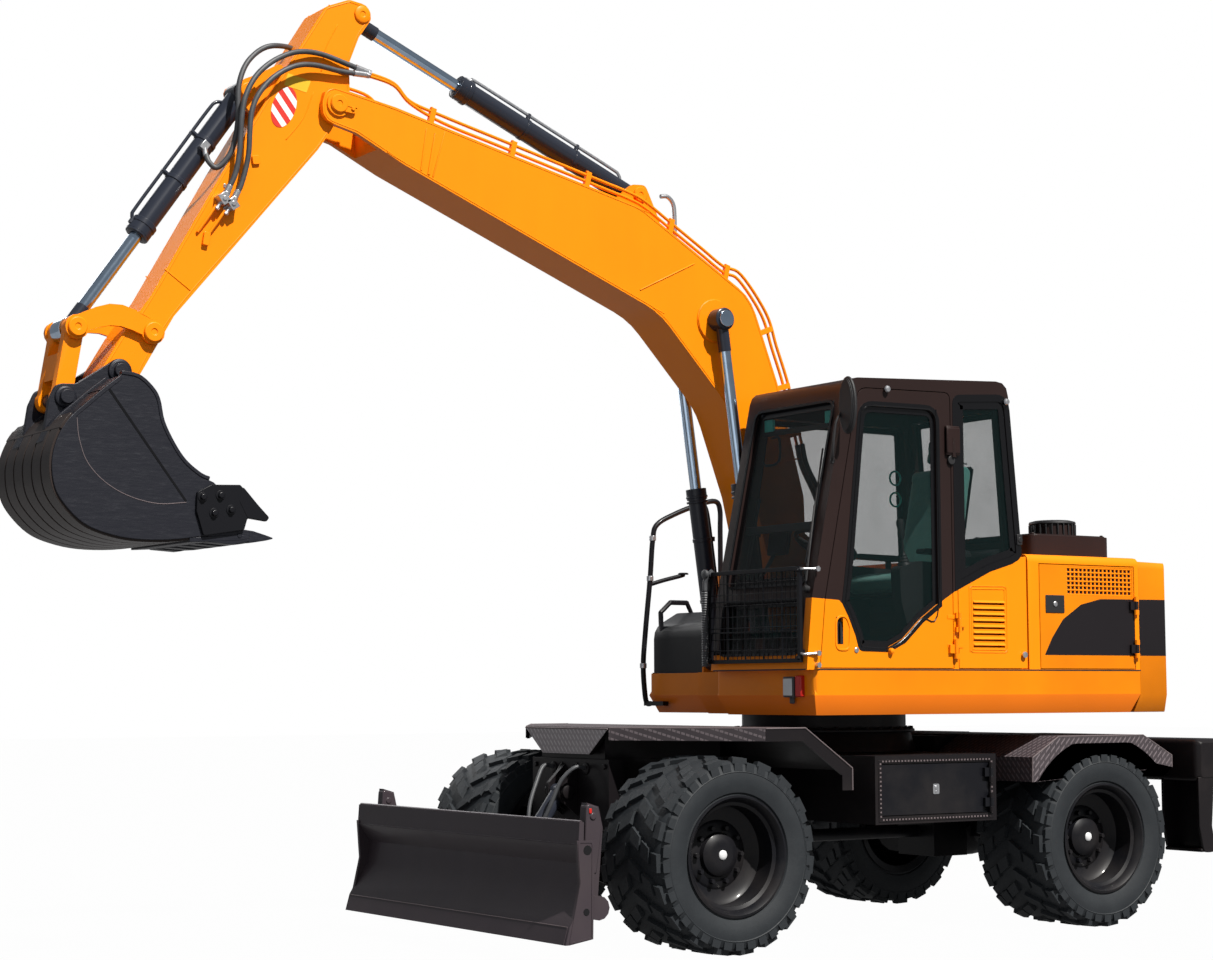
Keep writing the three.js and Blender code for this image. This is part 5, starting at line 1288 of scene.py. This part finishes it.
def makeHoses():
    for name, route in hoseRoutes.items():
        hose = Shape()
        hose.tube(route, boom["hose"], 12)
        piece = hose.done(name, hoseRubber, "boom_body", ride=False)
        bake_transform(piece)
    ends = Shape()
    for route in hoseRoutes.values():
        a, b = Vector(route[0]), Vector(route[1])
        step = (b - a).normalized()
        ends.rod(tuple(a - step * 0.015), tuple(a + step * 0.06), 0.0175, 16)
        ends.rod(tuple(a - step * 0.03), tuple(a - step * 0.012), 0.021, 6)
        ends.rod(tuple(a + step * 0.058), tuple(a + step * 0.064), 0.0185, 16)
    ends.done("hose_ends", platedSteel, "boom_body", bevel=0.001)
    block = Shape()
    turn = Matrix.Rotation(-0.95, 3, "Y")
    for x, z in ((3.812, 3.93), (3.862, 3.952)):
        block.box((x - 0.03, x + 0.03), (0.126, 0.186), (z - 0.024, z + 0.024), turn)
        block.rod((x, 0.18, z), (x, 0.192, z), 0.014, 6)
        block.rod((x + 0.012, 0.16, z - 0.02), (x + 0.038, 0.16, z - 0.06), 0.01, 12)
        block.rod((x + 0.028, 0.16, z - 0.046), (x + 0.036, 0.16, z - 0.058), 0.014, 6)
    for route in ("hose_low", "hose_high"):
        a, b = Vector(hoseRoutes[route][-1]), Vector(hoseRoutes[route][-2])
        step = (b - a).normalized()
        block.rod(tuple(a - step * 0.03), tuple(a + step * 0.045), 0.0175, 16)
        block.rod(tuple(a - step * 0.012), tuple(a + step * 0.006), 0.021, 6)
    for z in (4.02, 3.9):
        block.slab([(3.83, z), (3.845, z), (3.845, z + 0.02), (3.83, z + 0.02)], 0.124, 0.13)
    block.done("hose_block", platedSteel, "stick_body", bevel=0.002)
    lines = Shape()
    for x, z in ((3.85, 3.892), (3.9, 3.914)):
        lines.tube([(x, 0.158, z), (x + 0.03, 0.152, z - 0.05), (x + 0.09, 0.134, z - 0.145)], 0.008, 8)
    lines.done("stick_lines", orangePaint, "stick_body")
    port = Shape()
    port.rod((3.925, 0.078, 4.185), (3.93, 0.07, 4.24), 0.015, 12)
    port.box((3.905, 3.955), (0.05, 0.086), (4.22, 4.262), Matrix.Rotation(0.9, 3, "Y"))
    port.done("ram_port", platedSteel, "bucket_barrel", bevel=0.003)
    low = Shape()
    for y, lift, shift in ((0.15, 0.026, 0.0), (0.15, 0.064, 0.045), (-0.15, 0.04, 0.02)):
        x, z = boomBack(lift + 0.024)[-1]
        low.tube([(x, y, z + 0.01), (x - 0.035, y, z - 0.12), (-0.06 - shift, y, 2.52), (-0.15 - shift, y * 0.9, 2.2),
            (-0.17 - shift, y * 0.8, 1.9), (-0.14 - shift, y * 0.8, 1.6), (-0.12 - shift, y * 0.8, 1.515)], 0.016, 10)
    piece = low.done("foot_hoses", hoseRubber, "boom_body", ride=False)
    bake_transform(piece)


def makeMarks():
    # an oval reflector with slanting stripes, and a blank caution plate
    centre = Vector((3.503, 4.494))
    lean = math.radians(69)
    oval = []
    for a in turns(48):
        u, v = math.cos(a) * 0.118, math.sin(a) * 0.066
        oval.append((centre.x - u * math.cos(lean) - v * math.sin(lean), centre.y + u * math.sin(lean) - v
            * math.cos(lean)))
    for word, side in sides:
        plate = Shape()
        plate.slab(oval, *across(side, 0.125, 0.1272))
        plate.done(f"reflector_{word}", stripedFilm, "stick_body")
        label = Shape()
        label.plate([(3.481, 4.681, 0.006), (3.346, 4.657, 0.006), (3.372, 4.59, 0.006), (3.504, 4.613, 0.006)], side,
            0.125, 0.1266)
        label.done(f"caution_plate_{word}", yellowPlastic, "stick_body")


def axisOf(a, b):
    a, b = Vector((pins[a][0], 0, pins[a][1])), Vector((pins[b][0], 0, pins[b][1]))
    return a, (b - a).normalized(), (b - a).length


def makeRamDetails():
    for word, side in sides:
        y = side * 0.23
        start, step, length = axisOf("ramFoot", "boomEye")
        spot = lambda d: tuple(start + step * d + Vector((0, y, 0)))
        head = Shape()
        head.rod(spot(length - 0.19), spot(length - 0.045), 0.0375, 28)
        head.spin([(0.066, -0.042), (0.066, 0.04), (0.058, 0.046), (0.03, 0.046), (0.027, 0.042), (0.006, 0.042)],
            (pins["boomEye"][0], y, pins["boomEye"][1]), (0, side, 0), 40)
        for i in range(6):
            a = math.pi * i / 3
            head.bolt((pins["boomEye"][0] + math.cos(a) * 0.044, y + side * 0.046, pins["boomEye"][1] + math.sin(a)
                * 0.044), (0, side, 0), 0.006, 0.004)
        head.done(f"boom_rod_head_{word}", ramPaint, "boom_rods", bevel=0.002)
        gland = Shape()
        gland.spin([(0.038, -0.002), (0.052, -0.002), (0.056, 0.002), (0.056, 0.008), (0.063, 0.012)], spot(1.042),
            tuple(-step), 36, close=True)
        for d in (0.985, 0.955):
            gland.spin([(0.0625, 0), (0.066, 0.004), (0.066, 0.012), (0.0625, 0.016)], spot(d), tuple(step), 36,
                close=True)
        gland.done(f"boom_ram_gland_{word}", ramPaint, "boom_barrels", bevel=0.001)
        pipe = Shape()
        route = ((0.13, -0.046), (0.17, -0.066), (0.45, -0.068), (0.8, -0.068), (0.9, -0.064), (0.94, -0.05))
        pipe.tube([tuple(Vector(spot(d)) + Vector((back, 0, 0.01))) for d, back in route], 0.01, 10)
        for d in (0.35, 0.72):
            pipe.spin([(0.0555, 0), (0.058, 0.002), (0.058, 0.02), (0.0555, 0.022)], spot(d), tuple(step), 32,
                close=True)
            pipe.box((spot(d)[0] - 0.084, spot(d)[0] - 0.048), (y - 0.014, y + 0.014), (spot(d)[2] + 0.006,
                spot(d)[2] + 0.034))
        pipe.done(f"boom_ram_pipe_{word}", ramPaint, "boom_barrels", bevel=0.001)
    for foot, eye, tube, reach, ram, rodRadius, pipePaint, pipeSlot in (("armFoot", "stickTail", 0.062, 1.27, "arm",
            0.036, platedSteel, "rod_chrome"), ("bucketRamFoot", "linkPin", 0.058, 0.985, "bucket", 0.034, ramPaint,
            "ram_paint")):
        start, step, length = axisOf(foot, eye)
        over = Vector((-step.z, 0, step.x))
        if over.z < 0:
            over = -over
        spot = lambda d, lift=0.0, y=0.0: tuple(start + step * d + over * lift + Vector((0, y, 0)))
        fit = Shape()
        fit.spin([(rodRadius + 0.003, -0.002), (0.056, -0.002), (0.061, 0.002), (0.061, 0.008),
            (tube + 0.009, 0.012)], spot(reach + 0.012), tuple(-step), 36, close=True)
        fit.spin([(tube + 0.007, 0), (tube + 0.011, 0.004), (tube + 0.011, 0.03), (tube + 0.007, 0.034)],
            spot(reach - 0.075), tuple(step), 36, close=True)
        for d in (reach * 0.34, reach * 0.62):
            fit.spin([(tube + 0.001, 0), (tube + 0.004, 0.002), (tube + 0.004, 0.024), (tube + 0.001, 0.026)],
                spot(d), tuple(step), 32, close=True)
            fit.rod(spot(d + 0.013, tube, 0.0), spot(d + 0.013, tube + 0.04, 0.0), 0.014, 6)
        fit.done(f"{ram}_barrel_bands", ramPaint, f"{ram}_barrel", bevel=0.001)
        line = Shape()
        line.tube([spot(0.1, tube - 0.01), spot(0.13, tube + 0.022), spot(0.2, tube + 0.03), spot(reach * 0.5,
            tube + 0.03), spot(reach - 0.12, tube + 0.03), spot(reach - 0.06, tube + 0.022), spot(reach - 0.035,
            tube - 0.01)], 0.0095, 10)
        line.rod(spot(reach - 0.055, tube + 0.002), spot(reach - 0.02, tube + 0.002), 0.018, 6)
        line.done(f"{ram}_barrel_pipe", pipePaint, f"{ram}_barrel", pipeSlot)
        head = Shape()
        head.rod(spot(length - 0.155), spot(length - 0.05), rodRadius + 0.005, 28)
        head.done(f"{ram}_rod_head", ramPaint, f"{ram}_rod", bevel=0.002)


for makeTrim in (makeSeams, makePins, makePipes, makeHoses, makeMarks, makeRamDetails):
    makeTrim()
print("boom trim ready")

bucket = {
    "half": 0.385,
    "wrap": [(3.86, 2.188), (4.009, 2.181), (4.226, 2.153), (4.417, 2.151), (4.564, 2.176), (4.678, 2.221),
             (4.772, 2.306), (4.824, 2.392), (4.84, 2.51), (4.818, 2.619), (4.759, 2.727), (4.66, 2.82),
             (4.575, 2.895), (4.5, 2.955)],
    "mouth": [(4.493, 2.964), (4.408, 2.954), (4.344, 2.908), (4.304, 2.85), (4.278, 2.74), (4.222, 2.632),
              (4.156, 2.544), (4.068, 2.478), (3.969, 2.431), (3.88, 2.27)],
    "arc": [(4.718, 2.734), (4.706, 2.635), (4.662, 2.519), (4.568, 2.424), (4.441, 2.36), (4.292, 2.33),
            (4.142, 2.342)],
    "cutter": [(4.089, 2.395), (4.013, 2.436), (3.858, 2.442), (3.695, 2.282), (3.711, 2.261), (3.816, 2.274),
               (3.833, 2.215), (4.053, 2.179), (4.092, 2.3)],
    "bolts": [(4.062, 2.372), (3.966, 2.384), (4.000, 2.293), (3.908, 2.313)],
    "ear": [(4.345, 2.88), (4.345, 3.03, 0.05), (4.42, 3.078, 0.05), (4.505, 3.02, 0.05), (4.64, 2.93, 0.04),
            (4.74, 2.925, 0.05), (4.778, 2.84, 0.05), (4.8, 2.69), (4.7, 2.74), (4.55, 2.87)],
}


def flatCurve(points, steps=4):
    return [(p.x, p.y) for p in smoothPath([(a, b, 0) for a, b in points], steps)]


def strip(path, near, far):
    # a closed outline between two offsets of an open path
    rows = []
    for distance in (near, far):
        row = []
        for i, point in enumerate(path):
            ahead = (Vector(path[min(i + 1, len(path) - 1)]) - Vector(path[max(i - 1, 0)])).normalized()
            row.append((point[0] + ahead.y * distance, point[1] - ahead.x * distance))
        rows.append(row)
    return rows[0] + rows[1][::-1]


def makeBucket():
    half = bucket["half"]
    wrap = flatCurve(bucket["wrap"])
    mouth = flatCurve(bucket["mouth"])
    shell = Shape()
    shell.slab(strip(wrap, -0.022, 0.0), -half, half)
    for side in (1, -1):
        shell.slab(wrap + mouth, *across(side, half - 0.026, half - 0.002))
        shell.slab(flatCurve(bucket["arc"]) + wrap[4:42], *across(side, half - 0.004, half + 0.003))
        shell.slab(strip(mouth[:-6], -0.001, 0.018), *across(side, half - 0.03, half + 0.002))
        shell.plate(bucket["ear"], side, 0.13, 0.162)
        for pin, radius in (("bucketPivot", 0.062), ("bucketLink", 0.056)):
            x, z = pins[pin]
            shell.spin([(radius, 0), (radius, 0.03), (radius - 0.006, 0.036)], (x, side * 0.14, z), (0, side, 0), 32)
            shell.rod((x, side * 0.2, z), (x, 0, z), 0.036, 24)
        shell.slab([(4.345, 2.89), (4.345, 2.86), (4.56, 2.86), (4.6, 2.88)], *across(side, 0.1, half - 0.01))
        shell.slab(strip(flatCurve(bucket["wrap"][9:]), -0.002, 0.014), *across(side, 0.125, 0.215))
    shell.slab([(4.12, 2.168), (3.86, 2.192), (3.8, 2.186), (3.795, 2.172), (3.86, 2.16), (4.12, 2.144)], -half, half)
    piece = shell.done("bucket_shell", bucketSteel, "bucket_body", smooth=30, bevel=0.003)
    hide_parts("bucket")
    strips = Shape()
    for i in range(6):
        y = (i - 2.5) * 0.1285
        strips.slab(strip(wrap[3:42], -0.002, 0.011), y - 0.057, y + 0.057)
    strips.slab(strip(wrap[38:41], -0.002, 0.013), -half - 0.002, half + 0.002)
    strips.done("wear_strips", wornSteel, "bucket_body", smooth=30, bevel=0.002)
    marks = Shape()
    for side in (1, -1):
        marks.tube([(x, side * (half + 0.003), z) for x, z in bucket["arc"]], 0.0022, 6)
    marks.done("side_weld", edgeSteel, "bucket_body", "bucket_paint")
    # A thin black strip along the groove on each side of the bucket is painted shade in the groove.
    grooveShade = Shape()
    for side in (1, -1):
        grooveShade.slab([(4.548, 2.888), (4.558, 2.88), (4.146, 2.345), (4.137, 2.352)], *across(side, half - 0.004,
            half - 0.0008))
    grooveShade.done("side_groove_shade", blackGloss, "bucket_body", "bucket_paint")
    cutters = Shape()
    for side in (1, -1):
        cutters.plate([(*p, 0.012) for p in bucket["cutter"]], side, half, half + 0.02)
        cutters.plate([(3.845, 2.436, 0.01), (3.7, 2.28, 0.01), (3.716, 2.263, 0.01), (3.818, 2.277, 0.01),
            (3.862, 2.36, 0.03)], side, half + 0.006, half + 0.022)
        for x, z in bucket["bolts"]:
            cutters.spin([(0.026, 0), (0.026, 0.004), (0.018, 0.005)], (x, side * (half + 0.02), z), (0, side, 0), 20)
            cutters.bolt((x, side * (half + 0.023), z), (0, side, 0), 0.017, 0.014)
    cutters.done("side_cutters", blackPaint, "bucket_body", "bucket_paint", bevel=0.003)
    teeth = Shape()
    for i in range(5):
        y = (i - 2) * 0.17
        teeth.slab(corners([(4.02, 2.148, 0.01), (4.02, 2.212, 0.02), (3.88, 2.226, 0.02), (3.795, 2.212, 0.01),
            (3.795, 2.158, 0.01), (3.88, 2.14, 0.02)]), y - 0.044, y + 0.044)
        rows = [(3.822, 2.15, 2.218, 0.04), (3.77, 2.154, 2.212, 0.038), (3.7, 2.166, 2.194, 0.034),
            (3.66, 2.176, 2.182, 0.031)]
        verts = [at(x, y + way * w, z) for x, low, high, w in rows for z, way in ((low, -1), (low, 1), (high, 1),
            (high, -1))]
        teeth.add(verts, tubeFaces(4, 4) + [(0, 1, 2, 3), (12, 13, 14, 15)])
        for side in (1, -1):
            teeth.rod((3.85, y + side * 0.043, 2.186), (3.85, y + side * 0.048, 2.186), 0.012, 16)
    teeth.done("bucket_teeth", bucketSteel, "bucket_body", bevel=0.003)


def makeBlade():
    edge = Shape()
    edge.slab([(2.4035, 0.214), (2.429, 0.127), (2.424, 0.126), (2.399, 0.213)], -1.19, 1.19)
    edge.rod((2.327, -1.2, 0.736), (2.327, 1.2, 0.736), 0.01, 12)
    edge.tube([(2.3475, -1.19, 0.624), (2.3475, 0, 0.624), (2.3475, 1.19, 0.624)], 0.004, 6)
    for side in (1, -1):
        outline = corners([(2.405, 0.13, 0.01), (2.262, 0.15, 0.01), (2.256, 0.64, 0.02), (2.352, 0.643, 0.02),
            (2.337, 0.43, 0.05)])
        ring(edge, outline, inward(outline, 0.01), *across(side, 1.206, 1.2095))
    edge.done("blade_edges", bladePaint, "blade", bevel=0.002)
    worn = Shape()
    worn.tube([(2.4035, -1.188, 0.2145), (2.4035, 0, 0.2145), (2.4035, 1.188, 0.2145)], 0.0022, 6)
    worn.done("blade_wear", edgeSteel, "blade")
    # Black discs on the blade's end plates stand in for holes: painted shade inside them.
    holeShade = Shape()
    for side in (1, -1):
        holeShade.rod((2.293, side * 1.2065, 0.595), (2.293, side * 1.2085, 0.595), 0.024, 28)
        holeShade.rod((2.3, side * 1.2065, 0.285), (2.3, side * 1.2085, 0.285), 0.018, 24)
    holeShade.done("blade_hole_shade", blackGloss, "blade", "chassis_paint")
    brackets = Shape()
    for side in (1, -1):
        brackets.plate([(2.262, 0.47), (2.262, 0.64, 0.02), (2.25, 0.826, 0.02), (2.18, 0.806, 0.02),
            (2.158, 0.7, 0.03), (2.19, 0.47)], side, 1.074, 1.136)
        brackets.rod((2.213, side * 1.07, 0.76), (2.213, side * 1.142, 0.76), 0.02, 20)
    brackets.done("blade_brackets", bladePaint, "blade", bevel=0.006)
    marker = Shape()
    for side in (1, -1):
        marker.box((2.222, 2.238), across(side, 1.1365, 1.141), (0.775, 0.8))
    marker.done("blade_markers", redPlastic, "blade", "chassis_paint", bevel=0.002)
    hoses = Shape()
    for y, drop in ((0.135, 0.0), (-0.135, 0.03)):
        hoses.tube([(1.625, y * 1.25, 0.965), (1.7, y * 1.25, 0.975), (1.775, y, 0.9 - drop), (1.83, y * 0.8, 0.76),
            (1.862, y * 0.55, 0.665 - drop), (1.868, y * 0.36, 0.64 - drop)], 0.0115, 10)
    piece = hoses.done("blade_hoses", hoseRubber, "blade_barrel", ride=False)
    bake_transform(piece)
    nose = Shape()
    for side in (1, -1):
        nose.spin([(0.034, 0), (0.034, 0.006), (0.02, 0.01)], (1.6305, side * 0.169, 0.965), (1, 0, 0), 24)
        nose.plate([(1.632, 0.7), (1.72, 0.77, 0.03), (1.748, 0.845, 0.05), (1.7, 0.905, 0.04), (1.632, 1.000)], side,
            0.076, 0.084)
        nose.slab([(1.632, 0.52), (1.7, 0.44), (1.632, 0.4)], *across(side, 0.3, 0.302))
        nose.spin([(0.04, 0), (0.04, 0.01), (0.032, 0.014)], (1.7, side * 0.09, 0.837), (0, side, 0), 28)
        for z in (0.4, 0.62, 0.98):
            nose.bolt((1.6305, side * 0.36, z), (1, 0, 0), 0.016, 0.01)
    nose.done("nose_details", chassisPaint, "chassis", bevel=0.002)


def makeTreadPlates():
    step = Shape()
    step.slab([(-0.43, 1.188), (0.43, 1.188), (0.243, 1.048), (-0.243, 1.048)], 1.6562, 1.6592, "x")
    step.done("step_tread", paleTread, "chassis")
    plates = Shape()
    plates.slab([(0.885, 1.199), (1.15, 1.199), (1.646, 0.436), (1.646, -0.436), (1.15, -1.199), (0.885, -1.199)],
        1.1951, 1.1978, "z")
    for side in (1, -1):
        wing = [(1.153, side * 1.2005), (1.6525, side * 0.4365), (1.6555, side * 0.4385), (1.156, side * 1.2025)]
        plates.slab(wing, 1.128, 1.193, "z")
        slopeFront = [(0.881, 1.1955), (0.558, 0.9735), (0.5565, 0.9757), (0.8795, 1.1977)]
        plates.slab(slopeFront, *across(side, 0.345, 1.199))
        plates.box((0.555, 0.5578), across(side, 0.345, 1.199), (0.856, 0.972))
        plates.slab([(-0.995, 1.1255), (-0.785, 1.0055), (-0.7835, 1.0077), (-0.9935, 1.1277)],
            *across(side, 0.345, 1.199))
        plates.slab([(-0.785, 1.004), (-0.781, 0.866), (-0.7785, 0.866), (-0.7825, 1.004)], *across(side, 0.345,
            1.199))
        plates.slab([(-1.93, 1.0015), (-1.69, 1.1255), (-1.6912, 1.1278), (-1.9312, 1.0038)],
            *across(side, 0.345, 1.199))
        plates.box((-1.688, -0.997), across(side, 0.345, 1.199), (1.1252, 1.1278))
    plates.done("tread_plates", treadPlate, "chassis")
    arch = Shape()
    for side in (1, -1):
        line = [(-1.93, 0.93), (-1.93, 1.001), (-1.69, 1.125), (-0.995, 1.125), (-0.785, 1.005), (-0.781, 0.865)]
        hole = []
        for i in range(25):
            a = math.radians(36 + 108 * i / 24)
            hole.append((-1.346 + math.cos(a) * 0.64, min(1.083, 0.525 + math.sin(a) * 0.6)))
        arch.slab(line + [(-1.905, 0.93)] + hole[::-1] + [(-0.8, 0.865)], *across(side, 1.1998, 1.203))
    arch.done("rear_arches", treadPlate, "chassis")
    trim = Shape()
    for side in (1, -1):
        trim.tube([(1.1505, side * 1.201, 1.196), (1.4, side * 0.8185, 1.196), (1.6505, side * 0.436, 1.196)], 0.0045,
            6)
        for line in ([(0.558, 0.853), (0.558, 0.973), (0.881, 1.195), (1.15, 1.195)], [(-1.93, 0.93), (-1.93, 1.001),
                (-1.69, 1.125), (-0.995, 1.125), (-0.785, 1.005), (-0.781, 0.865)]):
            for (ax, az), (bx, bz) in zip(line, line[1:]):
                trim.rod((ax, side * 1.201, az), (bx, side * 1.201, bz), 0.0042, 8)
    trim.rod((1.658, -0.432, 1.19), (1.658, 0.432, 1.19), 0.005, 8)
    trim.done("fender_edges", edgeSteel, "chassis")


def makeToolboxEdges():
    studs = Shape()
    backs = Shape()
    x0, x1, z0, z1 = -0.462, 0.327, 0.7, 0.99
    for side in (1, -1):
        outline = [(x0 - 0.03, z0 - 0.03), (x1 + 0.03, z0 - 0.03), (x1 + 0.03, z1 + 0.022), (x0 - 0.03, z1 + 0.022)]
        inner = [(x0 - 0.006, z0 - 0.006), (x1 + 0.006, z0 - 0.006), (x1 + 0.006, z1 + 0.006),
            (x0 - 0.006, z1 + 0.006)]
        ring(backs, outline, inner, *across(side, 1.1802, 1.183))
        spots = [(x0 + (x1 - x0) * i / 34, z) for i in range(35) for z in (z0 - 0.018, z1 + 0.014)]
        spots += [(x, z0 + (z1 - z0) * i / 12) for i in range(13) for x in (x0 - 0.018, x1 + 0.018)]
        for x, z in spots:
            studs.box((x - 0.0055, x + 0.0055), across(side, 1.182, 1.1858), (z - 0.0045, z + 0.0045))
    backs.done("toolbox_frames", chassisPaint, "chassis", bevel=0.001)
    studs.done("toolbox_studs", edgeSteel, "chassis")
    for word, side in sides:
        lock = Shape()
        lock.plate([(-0.09, 0.815, 0.01), (-0.044, 0.815, 0.01), (-0.044, 0.872, 0.01), (-0.09, 0.872, 0.01)], side,
            1.1745, 1.1772)
        lock.spin([(0.011, 0), (0.011, 0.003), (0.007, 0.005)], (-0.067, side * 1.177, 0.852), (0, side, 0), 18)
        lock.spin([(0.006, 0), (0.006, 0.003)], (-0.067, side * 1.177, 0.828), (0, side, 0), 12)
        lock.done(f"toolbox_lock_{word}", platedSteel, f"toolbox_lid_{word}")
    ringBolts = Shape()
    for a in turns(36):
        x, y = -0.2 + math.cos(a) * 0.532, math.sin(a) * 0.532
        ringBolts.bolt((x, y, 1.168), (0, 0, 1), 0.012, 0.012)
    ringBolts.spin([(0.548, 0), (0.552, 0.004), (0.552, 0.014), (0.548, 0.018)], (-0.2, 0, 1.15), (0, 0, 1), 72)
    ringBolts.done("slewing_ring_bolts", blackPaint, "chassis")
    beam = Shape()
    for y in (-0.75, 0.75):
        beam.box((-2.4775, -2.464), (y - 0.16, y + 0.16), (0.905, 1.03))
    beam.done("rear_beam_plates", chassisPaint, "chassis", bevel=0.003)
    lamps = Shape()
    for y in (-0.75, 0.75):
        lamps.box((-2.4815, -2.477), (y - 0.145, y + 0.145), (0.92, 1.015))
    lamps.done("tail_lamps", redPlastic, "chassis", bevel=0.003)


def makeHandrail():
    # the rail in front of the deck, from its foot to the top and back to the deck
    y = -1.185
    rails = Shape()
    rails.tube([(0.262, y, 1.318), (0.29, y, 1.322), (0.306, y, 1.38), (0.318, y, 1.56), (0.3, y, 1.78),
        (0.262, y, 2.12), (0.24, y, 2.37), (0.205, y, 2.47), (0.06, y, 2.545), (-0.12, y, 2.61), (-0.255, y, 2.64),
        (-0.297, y, 2.59), (-0.299, y, 2.45), (-0.299, y, 2.151)], 0.017, 14)
    rails.tube([(0.268, y, 2.08), (0.15, y, 2.112), (0.03, y, 2.14), (-0.004, y, 2.15)], 0.014, 12)
    rails.box((0.262, 0.305), (-1.2, -0.985), (1.305, 1.333))
    for place in ((-0.299, y, 2.151), (0.0, y, 2.151)):
        rails.spin([(0.034, 0), (0.034, 0.008), (0.026, 0.012)], place, (0, 0, 1), 20)
    piece = rails.done("handrail_tubes", blackPaint, "upper", bevel=0.002)
    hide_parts("handrail")
    clamps = Shape()
    for x, z in ((0.262, 2.12), (0.318, 1.56), (0.24, 2.38)):
        clamps.rod((x, y, z - 0.016), (x, y, z + 0.016), 0.022, 14)
    clamps.done("rail_clamps", platedSteel, "upper", bevel=0.002)


def makeRearBeam():
    beam = Shape()
    section = corners([(-2.187, 0.835, 0.03), (-2.47, 0.835, 0.07), (-2.47, 1.095, 0.07), (-2.187, 1.095, 0.03)], 6)
    rows = [(-1.178, 0.82), (-1.16, 0.93), (-1.13, 1.0), (1.13, 1.0), (1.16, 0.93), (1.178, 0.82)]
    cx, cz = -2.328, 0.965
    verts = [at(cx + (x - cx) * scale, y, cz + (z - cz) * scale) for y, scale in rows for x, z in section]
    n = len(section)
    beam.add(verts, tubeFaces(len(rows), n) + [tuple(range(n)), tuple(range(len(verts) - n, len(verts)))])
    for side in (1, -1):
        for ys in (across(side, 0.862, 0.88), across(side, 1.155, 1.173)):
            beam.slab(corners([(-2.19, 0.86), (-2.19, 0.56, 0.05), (-2.225, 0.402, 0.04), (-2.338, 0.402, 0.04),
                (-2.3, 0.56, 0.06), (-2.33, 0.86)]), *ys)
        beam.box((-2.306, -2.294), across(side, 0.87, 1.165), (0.405, 0.85))
        beam.box((-2.32, -2.205), across(side, 0.87, 1.165), (0.405, 0.425))
    beam.box((-2.555, -2.45), (-0.088, 0.088), (0.852, 0.998))
    beam.rod((-2.52, 0, 0.84), (-2.52, 0, 1.015), 0.022, 20)
    piece = beam.done("rear_beam_box", chassisPaint, "chassis", smooth=30, bevel=0.004)
    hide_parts("rear_beam")


def makeCabFront():
    hose = Shape()
    profile = [(0.0215 if i % 2 else 0.0175, i * 0.0069) for i in range(64)]
    hose.spin(profile, (0.914, 0.324, 1.535), (0, 0, 1), 18)
    hose.tube([(0.914, 0.324, 1.97), (0.912, 0.324, 2.02), (0.896, 0.34, 2.06), (0.876, 0.35, 2.085)], 0.015, 12)
    hose.spin([(0.016, 0), (0.026, 0.006), (0.026, 0.02), (0.018, 0.026)], (0.905, 0.33, 2.065), (1, 0, 0), 28)
    hose.done("front_hose", hoseRubber, "upper")


for makeTrim in (makeBucket, makeBlade, makeTreadPlates, makeToolboxEdges, makeHandrail, makeRearBeam, makeCabFront):
    makeTrim()
print("bucket, blade and chassis trim ready")

stage = {"floorSize": 60, "floorColour": (0.1, 0.1, 0.105), "world": 0.22}


def makeStage():
    shape = Shape()
    s = stage["floorSize"]
    shape.add([Vector((-s, -s, -0.001)), Vector((s, -s, -0.001)), Vector((s, s, -0.001)), Vector((-s, s, -0.001))],
        [(0, 1, 2, 3)])
    g = Graph("floorPaint")
    g.finish(Base_Color=g.mix(g.noise(3, 4), stage["floorColour"], tuple(c * 0.97 for c in stage["floorColour"])),
        Roughness=0.9)
    white = g.add("ShaderNodeEmission", inputs={"Color": (1.0, 1.0, 1.0), "Strength": 1.0})
    path = g.add("ShaderNodeLightPath").socket.node
    rays = Wire(g, path.outputs["Is Glossy Ray"]) + Wire(g, path.outputs["Is Transmission Ray"])
    shown = Wire(g, path.outputs["Is Camera Ray"]) * 0.985 + rays * 0.2
    blend = g.add("ShaderNodeMixShader", inputs={0: shown, 1: Wire(g, g.shader.outputs[0]), 2: white})
    g.feed(g.tree.nodes["Material Output"].inputs[0], blend)
    floor = shape.done("floor", g.material, None, ride=False)
    world = bpy.data.worlds.new("world")
    bpy.context.scene.world = world
    world.use_nodes = True
    tree = world.node_tree
    back = tree.nodes["Background"]
    back.inputs[0].default_value = (0.93, 0.96, 1.0, 1)
    back.inputs[1].default_value = stage["world"]
    plain = tree.nodes.new("ShaderNodeBackground")
    plain.inputs[1].default_value = 1.0
    plain.inputs[0].default_value = (1, 1, 1, 1)
    pathNode = tree.nodes.new("ShaderNodeLightPath")
    mixNode = tree.nodes.new("ShaderNodeMixShader")
    tree.links.new(pathNode.outputs["Is Camera Ray"], mixNode.inputs[0])
    tree.links.new(back.outputs[0], mixNode.inputs[1])
    tree.links.new(plain.outputs[0], mixNode.inputs[2])
    tree.links.new(mixNode.outputs[0], tree.nodes["World Output"].inputs[0])


lamps = {
    "sun": {"kind": "SUN", "energy": 6.6, "size": 0.02, "from": (-1.0, 6.3, 9.6), "colour": (1.0, 0.97, 0.92)},
    "fill": {"kind": "AREA", "energy": 70, "size": 6.0, "from": (9.0, 6.0, 4.0), "colour": (0.92, 0.96, 1.0)},
    "rim": {"kind": "AREA", "energy": 260, "size": 6.0, "from": (1.0, -9.0, 6.0), "colour": (1.0, 1.0, 1.0)},
}


def makeLamp(name, lamp):
    data = bpy.data.lights.new(name, lamp["kind"])
    data.energy = lamp["energy"]
    data.color = lamp["colour"]
    if lamp["kind"] == "SUN":
        data.angle = lamp["size"]
    else:
        data.size = lamp["size"]
    light = bpy.data.objects.new(name, data)
    light.location = at(*lamp["from"])
    light.rotation_euler = (at(0, 0, 1.5) - light.location).to_track_quat("-Z", "Y").to_euler()
    bpy.context.scene.collection.objects.link(light)


makeStage()
for lampName, lamp in lamps.items():
    makeLamp(lampName, lamp)
print("stage ready")
